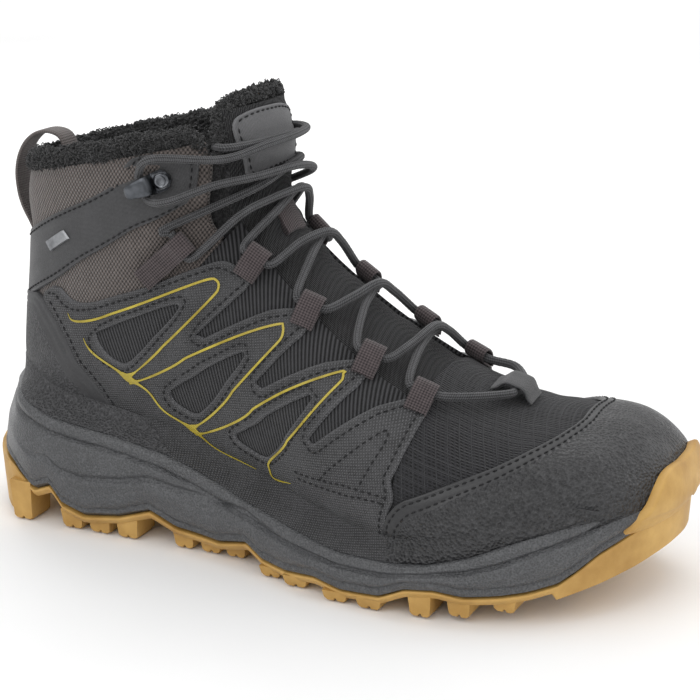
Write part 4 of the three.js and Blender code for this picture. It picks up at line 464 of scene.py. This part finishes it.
# ---------------------------------------------------------------- lace loops, keeper, hooks, rivets
for key, (o_, n_, k_, w_) in LOOP_FRAMES.items():
    o_, n_, k_, w_ = map(np.array, (o_, n_, k_, w_)); far = 22 if key.startswith("a") else 10
    pth = spline([(far, 1.9), (6.2, 4.4), (2.6, 5.75), (-0.6, 5.9), (-2.6, 4.7), (-2.9, 2.9), (-1.5, 1.3), (1.2, 0.75), (6.0, 0.9), (far, 1.0)], 0.45)
    P = o_ + np.outer(pth[:, 0], k_) + np.outer(pth[:, 1] + 0.35, n_)
    far_ok = pth[:, 0] > 7
    b = Bag(); band(b, P, w_, 4.4, 0.95, 0.07, 1.0); emit(b, "webbing_loop_" + key, "webbing", nodes=["lace_loop_" + key], angle=60)
a_, u_, n_, y_ = map(np.array, KEEPER); pth = spline([(-8, .9), (-6.2, 2.2), (-4.2, 4.6), (-2.6, 5.35), (2.6, 5.35), (4.2, 4.6), (6.2, 2.2), (8, .9)], 0.5)
b = Bag(); band(b, a_ + np.outer(pth[:, 0], u_) + np.outer(pth[:, 1], n_), y_, 7.2, 1.1); emit(b, "vamp_keeper_tab", "strap_synthetic", nodes=["vamp_keeper"], angle=60)
for nm, _ in mirror:
    o_, n_, r_, u_ = map(np.array, HOOKS[nm]); pth = spline([(-10, 1.4), (-7, 1.4), (-3.9, 1.4), (-2.9, 2.1), (-2.7, 3.6), (-2.7, 5.4), (-2.0, 6.8), (0, 7.05), (3, 7.05), (5.6, 6.8), (7.2, 5.7)], 0.35)
    w = np.interp(np.arange(len(pth)) / (len(pth) - 1), [0, .04, .12, .3, .5, .7, .9, .97, 1], [1.2, 2.9, 3.9, 4.0, 3.7, 3.3, 2.7, 2.0, 1.0])
    b = Bag(); band(b, o_ + np.outer(pth[:, 0], r_) + np.outer(pth[:, 1], n_), u_, w, 1.05); emit(b, "speed_hook_" + nm, "hook", nodes=["hook_" + nm], angle=60)
    prof = [(0, 1.2), (.9, 1.2), (.9, 2.25), (3.1, 2.25), (3.15, 2.7), (2.7, 3.2), (2.2, 3.3), (1.9, 3.05), (1.5, 3.05), (0, 3.4)]; m = 36; V, F = [], []
    for a in np.arange(m) * 2 * math.pi / m: V += [o_ - 6.6 * r_ + n_ * z + x * (math.cos(a) * r_ + math.sin(a) * u_) for x, z in prof[1:-1]]
    kk = len(prof) - 2; V += [o_ - 6.6 * r_ + n_ * 1.2, o_ - 6.6 * r_ + n_ * 3.4]; c0, c1 = m * kk, m * kk + 1
    for j in range(m):
        q = (j + 1) % m; F += [(j * kk + i, q * kk + i, q * kk + i + 1, j * kk + i + 1) for i in range(kk - 1)] + [(c0, q * kk, j * kk), (c1, j * kk + kk - 1, q * kk + kk - 1)]
    b = Bag(); b.add(V, outward(np.array(V), F)); emit(b, "hook_rivet_head_" + nm, "rivet", nodes=["hook_rivet_" + nm])

# ---------------------------------------------------------------- lace
def lace(name, pts, nodes, body="boot", blend=False):
    P = spline(pts, 0.8); b = Bag(); tube(b, P, 1.66 + 0.05 * np.sin(np.arange(len(P)) * 2.2), 14, flat=0.92)
    o = emit(b, name, "lace", None if blend else body, nodes, angle=180)
    if blend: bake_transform(o)
    return np.linalg.norm(np.diff(P, axis=0), axis=1).sum()
LACE_MM = [lace("lace_throat", LACE_LOWER, ["lace_lower"])] + [lace("lace_ankle_" + k, LACE_UPPER[k], ["lace_upper_" + k], blend=True) for k in ("medial", "lateral")]
print("lace millimetres", [round(x) for x in LACE_MM])
for k in ("medial", "lateral"):
    e, d = np.array(LACE_UPPER[k][-1]), unit(np.array(LACE_UPPER[k][-1]) - np.array(LACE_UPPER[k][-2])); b = Bag()
    t = lin(0.3, 18, 24); tube(b, e + np.outer(t, d), np.interp(t, [0.3, 1, 4, 17, 18], [1.3, 1.75, 1.6, 1.6, 1.0]), 16); emit(b, "lace_tip_" + k, "aglet", nodes=["aglet_" + k])

# ---------------------------------------------------------------- heel pull loop
p = spline([(24.5,141),(24.8,147),(22.6,151.6),(17.5,153.2),(11.5,152.2),(6.2,148.3),(2.6,142.3),(1.0,135.3),(1.4,128),(2.6,123.2),(4.4,119.2),(5.9,116.6),(7.7,113.0),(8.4,110.2)], 0.4); b = Bag()
band(b, np.column_stack([p[:, 0], 0 * p[:, 0], p[:, 1]]), (0, 1, 0), 5.0, 1.4, 0.06, 1.0); o = emit(b, "pull_loop_webbing", "pull_webbing", None, ["pull_loop", "pull_loop_tab"], angle=60)
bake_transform(o)

# ---------------------------------------------------------------- sole unit
PLAN = np.array([[-9.8,0,0],[-8.6,-11,11],[-4.5,-21.5,21.5],[3,-31,31],[14,-38.5,38],[28,-42.5,41.5],[46,-43.5,42],[66,-42.5,40],[86,-42,37.5],[106,-43.5,37.5],[126,-48,40.5],[146,-54.5,45],[166,-60.5,48],[186,-62.8,49.5],
 [206,-62.2,50.5],[224,-59,50],[241,-52.5,47.5],[255,-43.5,42.5],[266,-33,36.5],[275,-20.5,28.5],[280.5,-8,19],[282.5,5,8]])
RIM = np.array([[-12,55.5],[0,55],[12,54],[24,50.5],[36,46.5],[62,43],[86,38.5],[102,34],[123,27.5],[149,22.5],[170,19.5],[192,19.5],[206,21],[222,25.5],[240,33],[251,37],[265,43],[285,49]])
FOOT = np.array([[-12,29],[0,24],[13,22],[25,14.5],[34,18],[40,10.5],[50,7.5],[66,9.5],[80,14],[92,9],[112,7.5],[126,11],[134,6.5],[146,5.5],[160,7.5],[172,5.5],[188,6.5],[198,11],[209,12],[219,10.5],[232,11.5],[241,13],[250,15.5],[256,20],[262,25.5],[270,30.5],[285,40]])
SPR = np.array([[-12,12],[-4,4],[6,0],[200,0],[212,1],[224,2.5],[236,4.8],[250,8.5],[262,12.5],[272,16.5],[284,22.5]])
rimZ, footZ, sprZ = [lambda x, T=T: np.interp(x, T[:, 0], T[:, 1]) for T in (RIM, FOOT, SPR)]
ring = resample(chaikin(np.vstack([PLAN[:, [0, 1]], PLAN[1:-1][::-1][:, [0, 2]]]), 2), 1.6); tn = unit(np.roll(ring, -1, 0) - np.roll(ring, 1, 0)); INN = np.column_stack([-tn[:, 1], tn[:, 0]])
if ((ring.mean(0) - ring) * INN).sum() < 0: INN = -INN
X = ring[:, 0]; u = np.clip((26 - X) / 30, 0, 1); HEEL = u * u * (3 - 2 * u); nr = len(ring)
def rings_mesh(bag, rings):
    V = np.concatenate(rings); n = len(rings[0]); F = [(k * n + j, k * n + (j + 1) % n, (k + 1) * n + (j + 1) % n, (k + 1) * n + j) for k in range(len(rings) - 1) for j in range(n)]
    for o2, r in ((0, rings[0]), ((len(rings) - 1) * n, rings[-1])):
        _, _, fs, *_ = delaunay_2d_cdt([Vector(p[:2]) for p in r], [(i, (i + 1) % n) for i in range(n)], [], 1, 1e-7)
        F += [tuple(int(i) + o2 for i in (f if o2 else f[::-1])) for f in fs if max(f) < n]
    bag.add(V, outward(V, F), np.column_stack([np.tile(np.arange(n) * 1.6, len(rings)), np.repeat(np.arange(len(rings)) * 1.2, n)]))
lev = [(0, 3.0, 1.0), (.05, .8, 2.2), (.42, -.6, 5.5), (.72, .6, 7.5), (.97, 2.0, 9.0), (1, 3.2, 9.3)]; lt, li, lh = map(np.array, zip(*lev)); rings = []
for t in np.concatenate([[0, .02, .05], lin(.08, .95, 46), [.975, 1.0]]):
    z = footZ(X) + t * (rimZ(X) - footZ(X)); H = rimZ(X) - footZ(X); ins = np.interp(t, lt, li) + np.interp(t, lt, lh) * HEEL
    ins = ins + 1.5 * np.exp(-((z - (rimZ(X) - np.minimum(6.0, .33 * H))) / 0.85) ** 2) - 0.45 * np.exp(-((z - (rimZ(X) - 2.6)) / 1.2) ** 2)
    ins = ins + 0.8 * np.exp(-((z - (footZ(X) + 3.4)) / 0.8) ** 2) * (H > 9) + 1.5 * np.exp(-((z - (footZ(X) * .45 + rimZ(X) * .55 - 4 * np.sin(X / 26))) / 1.3) ** 2) * np.clip((150 - X) / 25, 0, 1) * np.clip((X - 20) / 15, 0, 1)
    for c0, wd in ((60, 16), (108, 12), (156, 9), (198, 8)): ins = ins - 1.3 * np.exp(-((X - c0) / wd) ** 2) * np.exp(-((z - (footZ(X) + 6.5)) / 3.2) ** 2)
    rings.append(np.column_stack([ring + INN * ins[:, None], z]))
gsx, gvx = lin(0.02, 18, 150), lin(-1, 1, 121)[:-1]; S, Wv = np.meshgrid(gsx, gvx, indexing="ij"); UP = L(S, Wv, 1.2); I = lambda i, j: i * 120 + j % 120
bvh = BVHTree.FromPolygons([Vector(p) for p in UP.reshape(-1, 3)], [(I(i, j), I(i + 1, j), I(i + 1, j + 1), I(i, j + 1)) for i in range(149) for j in range(120)])
for z_drop in (0.3, 2.5, 6, 11):
    r = rings[-1] if z_drop == 0.3 else prev; z = np.maximum(rimZ(X) - z_drop, footZ(X) + 5.5); out = []
    for j in range(nr):
        o2 = Vector((*ring[j], z[j])); h = bvh.ray_cast(o2, Vector((*INN[j], 0)), 26); w = (h[3] + 0.9) if h[0] is not None else 8.0 + 9 * HEEL[j]
        out.append([*(ring[j] + INN[j] * min(max(w, 4.0), 22)), z[j]])
    prev = np.array(out); k7 = 7; pad_ = np.vstack([prev[-k7:], prev, prev[:k7]]); prev[:, :2] = np.stack([np.convolve(pad_[:, q], np.ones(2 * k7 + 1) / (2 * k7 + 1), "valid") for q in (0, 1)], 1) * 0.3 + prev[:, :2] * 0.7; rings.append(prev)
b = Bag(); rings_mesh(b, rings); o = emit(b, "midsole_sculpted", "midsole_eva", nodes=["midsole"], angle=50)
def welt(name, cols, kmax, mat, lift, rise=9.0):
    """Flared foot of the upper: a thin curved plate from the rim of the midsole up onto the upper."""
    n, K = len(cols), 12; A, B = np.zeros((n, K, 3)), np.zeros((n, K, 3))
    for a, j in enumerate(cols):
        for k in range(K):
            t = kmax[a] * k / (K - 1); g = (GAP[j] - lift) * (1 - t) ** 1.8 + lift * (1 - 0.45 * (k == K - 1)); z = rimZ(X[j]) + 0.15 + rise * t
            w = np.interp(t, TK, WK[j]); p = ring[j] + INN[j] * (w - g); q = ring[j] + INN[j] * (w - g + 0.45); A[a, k] = (*q, z - 0.25); B[a, k] = (*p, z)
    V = np.concatenate([A.reshape(-1, 3), B.reshape(-1, 3)]); I = lambda l, i, k: l * n * K + i * K + k; F = []
    for i in range(n - 1):
        for k in range(K - 1): F += [(I(0, i, k), I(0, i, k + 1), I(0, i + 1, k + 1), I(0, i + 1, k)), (I(1, i, k), I(1, i + 1, k), I(1, i + 1, k + 1), I(1, i, k + 1))]
        for k in (0, K - 1): F.append((I(0, i, k), I(0, i + 1, k), I(1, i + 1, k), I(1, i, k)) if k == 0 else (I(0, i, k), I(1, i, k), I(1, i + 1, k), I(0, i + 1, k)))
    for i in (0, n - 1):
        for k in range(K - 1): F.append((I(0, i, k), I(1, i, k), I(1, i, k + 1), I(0, i, k + 1)) if i == 0 else (I(0, i, k), I(0, i, k + 1), I(1, i, k + 1), I(1, i, k)))
    cs = np.concatenate([np.zeros((n, 1)), np.cumsum(np.linalg.norm(np.diff(B, axis=1), axis=2), 1)], 1) + rimZ(X[cols])[:, None]
    ch = np.column_stack([np.repeat(X[cols], K), cs.ravel()]); b = Bag(); b.add(V, outward(V, F), np.tile(ch, (2, 1))); emit(b, name, mat, angle=70)
TK = lin(0, 1, 7); WK = np.zeros((nr, 7))
for j in range(nr):
    for k in range(7):
        h = bvh.ray_cast(Vector((*ring[j], rimZ(X[j]) + 0.15 + 9 * TK[k])), Vector((*INN[j], 0)), 45); WK[j, k] = h[3] if h[0] is not None else (WK[j, k - 1] + 0.8 if k else 9.0)
ker = np.exp(-(np.arange(-6, 7) / 3.0) ** 2); ker /= ker.sum(); WK = np.stack([np.convolve(np.concatenate([WK[-6:, k], WK[:, k], WK[:6, k]]), ker, "valid") for k in range(7)], 1)
GAP = np.maximum(WK[:, 0] - (3.0 + 9.3 * HEEL), 1.4)
order = np.roll(np.arange(nr), -int(np.argmax(X))); OX = X[order]
heel = order[OX < 90]; welt("welt_heel", heel, np.clip((90 - X[heel]) / 16, 0.06, 1), "counter_grain", 1.15)
for nm, c in (("a", 0), ("b", 1)):
    half_ = order[:int(np.argmin(OX))] if c == 0 else order[int(np.argmin(OX)):]; hx = X[half_]
    sel = half_[(hx > 73) & (hx < 192)]; welt("welt_quarter_" + nm, sel, np.ones(len(sel)), "overlay_film", 0.55)
    sel = half_[(hx >= 189) & (hx < 262)]; welt("welt_toe_" + nm, sel, np.clip((262.5 - X[sel]) / 12, 0.06, 1), "rubberised_guard", 0.8)
b = Bag(); rr = []
for ins, zf in [(3.4, lambda: np.where((X > 250) | (X < 20), sprZ(X) + .6, np.maximum(footZ(X) - 3.55, sprZ(X) + .6))), (2.2, lambda: np.where((X > 250) | (X < 20), sprZ(X) + 1.2, np.maximum(footZ(X) - 3.0, sprZ(X) + 1.0))), (1.2, lambda: footZ(X) - 1.35), (1.3, lambda: footZ(X) - .6), (1.9, lambda: footZ(X) - .3)]:
    rr.append(np.column_stack([ring + INN * (ins + 0.6 * HEEL)[:, None] if np.ndim(ins) else ring + INN * ins, zf()]))
rings_mesh(b, rr)
LUGS = []
for x0, x1 in ((14,23),(38,47),(51,60),(64,73)): LUGS += [(x0,x1,-39.5,-26),(x0,x1,25.5,38.5)]
for x0, x1 in ((20,30),(40,50),(58,68)): LUGS.append((x0,x1,-15,15))
for x0, x1 in ((90,98),(102,110),(113,121)): LUGS += [(x0,x1,-39,-27),(x0,x1,22,35)]
for x0, x1, w in ((134,142,-50),(146,155,-54),(165,174,-59.5),(179,188,-60.5)): LUGS += [(x0,x1,w,w+15),(x0,x1,30.5,45.5)]
for x0, x1, w in ((199,207,-59.5),(213,221,-57),(228,236,-51.5)): LUGS += [(x0,x1,w,w+14),(x0,x1,32,46)]
for x0, x1 in ((138,149),(159,170),(181,192),(203,214)): LUGS += [(x0,x1,-30,-9),(x0,x1,-3,18)]
LUGS += [(243,250,-38,-16),(243,250,-8,14),(243,250,20,36)]
for x0, x1, y0, y1 in LUGS:
    xm = (x0 + x1) / 2; z0 = float(sprZ(xm)); z1 = max(float(footZ(xm)) - 1.55, z0 + 2.4); q = 0.9
    prof = [(x0-.5,z1),(x0+.2,z0+1.6),(x0+1.0,z0+.25),(x0+1.5,z0),(xm-.9,z0),(xm-.25,z0+1.1),(xm+.25,z0+1.1),(xm+.9,z0),(x1-1.5,z0),(x1-1.0,z0+.25),(x1-.2,z0+1.6),(x1+.5,z1)]; m = len(prof); V = []
    for yy, tap in ((y0 - .4, 1.0), (y0 + .35, .35), (y0 + .9, 0.0), (y1 - .9, 0.0), (y1 - .35, .35), (y1 + .4, 1.0)):
        V += [(x, yy + (q * (1 if yy < (y0 + y1) / 2 else -1)) * (z1 - z) / max(z1 - z0, 1), z + tap * .5 * (1 if z < z0 + 1.2 else 0)) for x, z in prof]
    F = [(k3 * m + j, k3 * m + (j + 1) % m, (k3 + 1) * m + (j + 1) % m, (k3 + 1) * m + j) for k3 in range(5) for j in range(m)] + [tuple(range(m - 1, -1, -1)), tuple(range(5 * m, 6 * m))]
    b.add(V, outward(np.array(V), F))
ev = lambda v: np.interp(np.abs(v), [0, .12, .29, .38, .53, .62, .72, .85, 1], [1.02, 1.05, 1.44, 1.52, 1.76, 2.2, 2.9, 3.4, 3.6]); fr_, vv = lin(0, 1, 44), lin(-1, 1, 181)[:-1]; Fm, Vm = np.meshgrid(fr_, vv, indexing="ij"); ker = np.exp(-(np.arange(-12, 13) / 5.0) ** 2); ker /= ker.sum()
EV = np.convolve(np.concatenate([ev(vv)[-12:], ev(vv), ev(vv)[:12]]), ker, "valid")[None] + 0 * Vm; Sm = 0.03 + (EV - 0.03) * Fm
P0 = L(Sm, Vm, 0.0); zz = P0[..., 2]; rdg = np.clip((1 - Fm) * EV * 12 / 1.6, 0, 1); oh = 1.9 + 3.3 * (0.15 + 0.85 * np.sqrt(np.maximum(1 - (1 - rdg) ** 2, 0)))
oh = oh - 0.75 * np.exp(-((zz - 38.0) / 0.75) ** 2) * (np.abs(Vm) > .15) - 0.75 * np.exp(-((zz - 34.0) / 0.7) ** 2) * (np.abs(Vm) > .2)
A, B = L(Sm, Vm, 1.9), L(Sm, Vm, oh); ns, nv = Sm.shape; V = np.vstack([A.reshape(-1, 3), B.reshape(-1, 3), A[0].mean(0)[None], B[0].mean(0)[None]]); I2 = lambda l, i, j: l * ns * nv + i * nv + j % nv; F = []
for j in range(nv):
    for i in range(ns - 1): F += [(I2(0, i, j), I2(0, i, j + 1), I2(0, i + 1, j + 1), I2(0, i + 1, j)), (I2(1, i, j), I2(1, i + 1, j), I2(1, i + 1, j + 1), I2(1, i, j + 1))]
    F += [(I2(0, ns - 1, j), I2(0, ns - 1, j + 1), I2(1, ns - 1, j + 1), I2(1, ns - 1, j)), (2 * ns * nv, I2(0, 0, j + 1), I2(0, 0, j)), (2 * ns * nv + 1, I2(1, 0, j), I2(1, 0, j + 1))]
b.add(V, outward(V, F)); emit(b, "outsole_lugged", "outsole_gum", nodes=["outsole"], angle=38)
for body, bag in STITCH.items():
    if bag.n: emit(bag, "thread_" + body, "thread", body, angle=180)

# ---------------------------------------------------------------- inner pieces kept from the frame
inner = {"shank": "shank_nylon", "insole_board": "insole_board", "footbed": "footbed_foam", "toe_puff": "stiffener", "heel_stiffener": "stiffener", "collar_foam_lateral": "foam", "collar_foam_medial": "foam"}
for node, mat in inner.items():
    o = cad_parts[node]; o.data.materials.clear(); o.data.materials.append(M[mat])

fl = bpy.data.meshes.new("floor"); fl.from_pydata([(-6, -6, 0), (6, -6, 0), (6, 6, 0), (-6, 6, 0)], [], [(0, 1, 2, 3)]); fo = bpy.data.objects.new("floor", fl); bpy.context.scene.collection.objects.link(fo); fl.materials.append(M["floor"]); fo.location.z = -0.0003
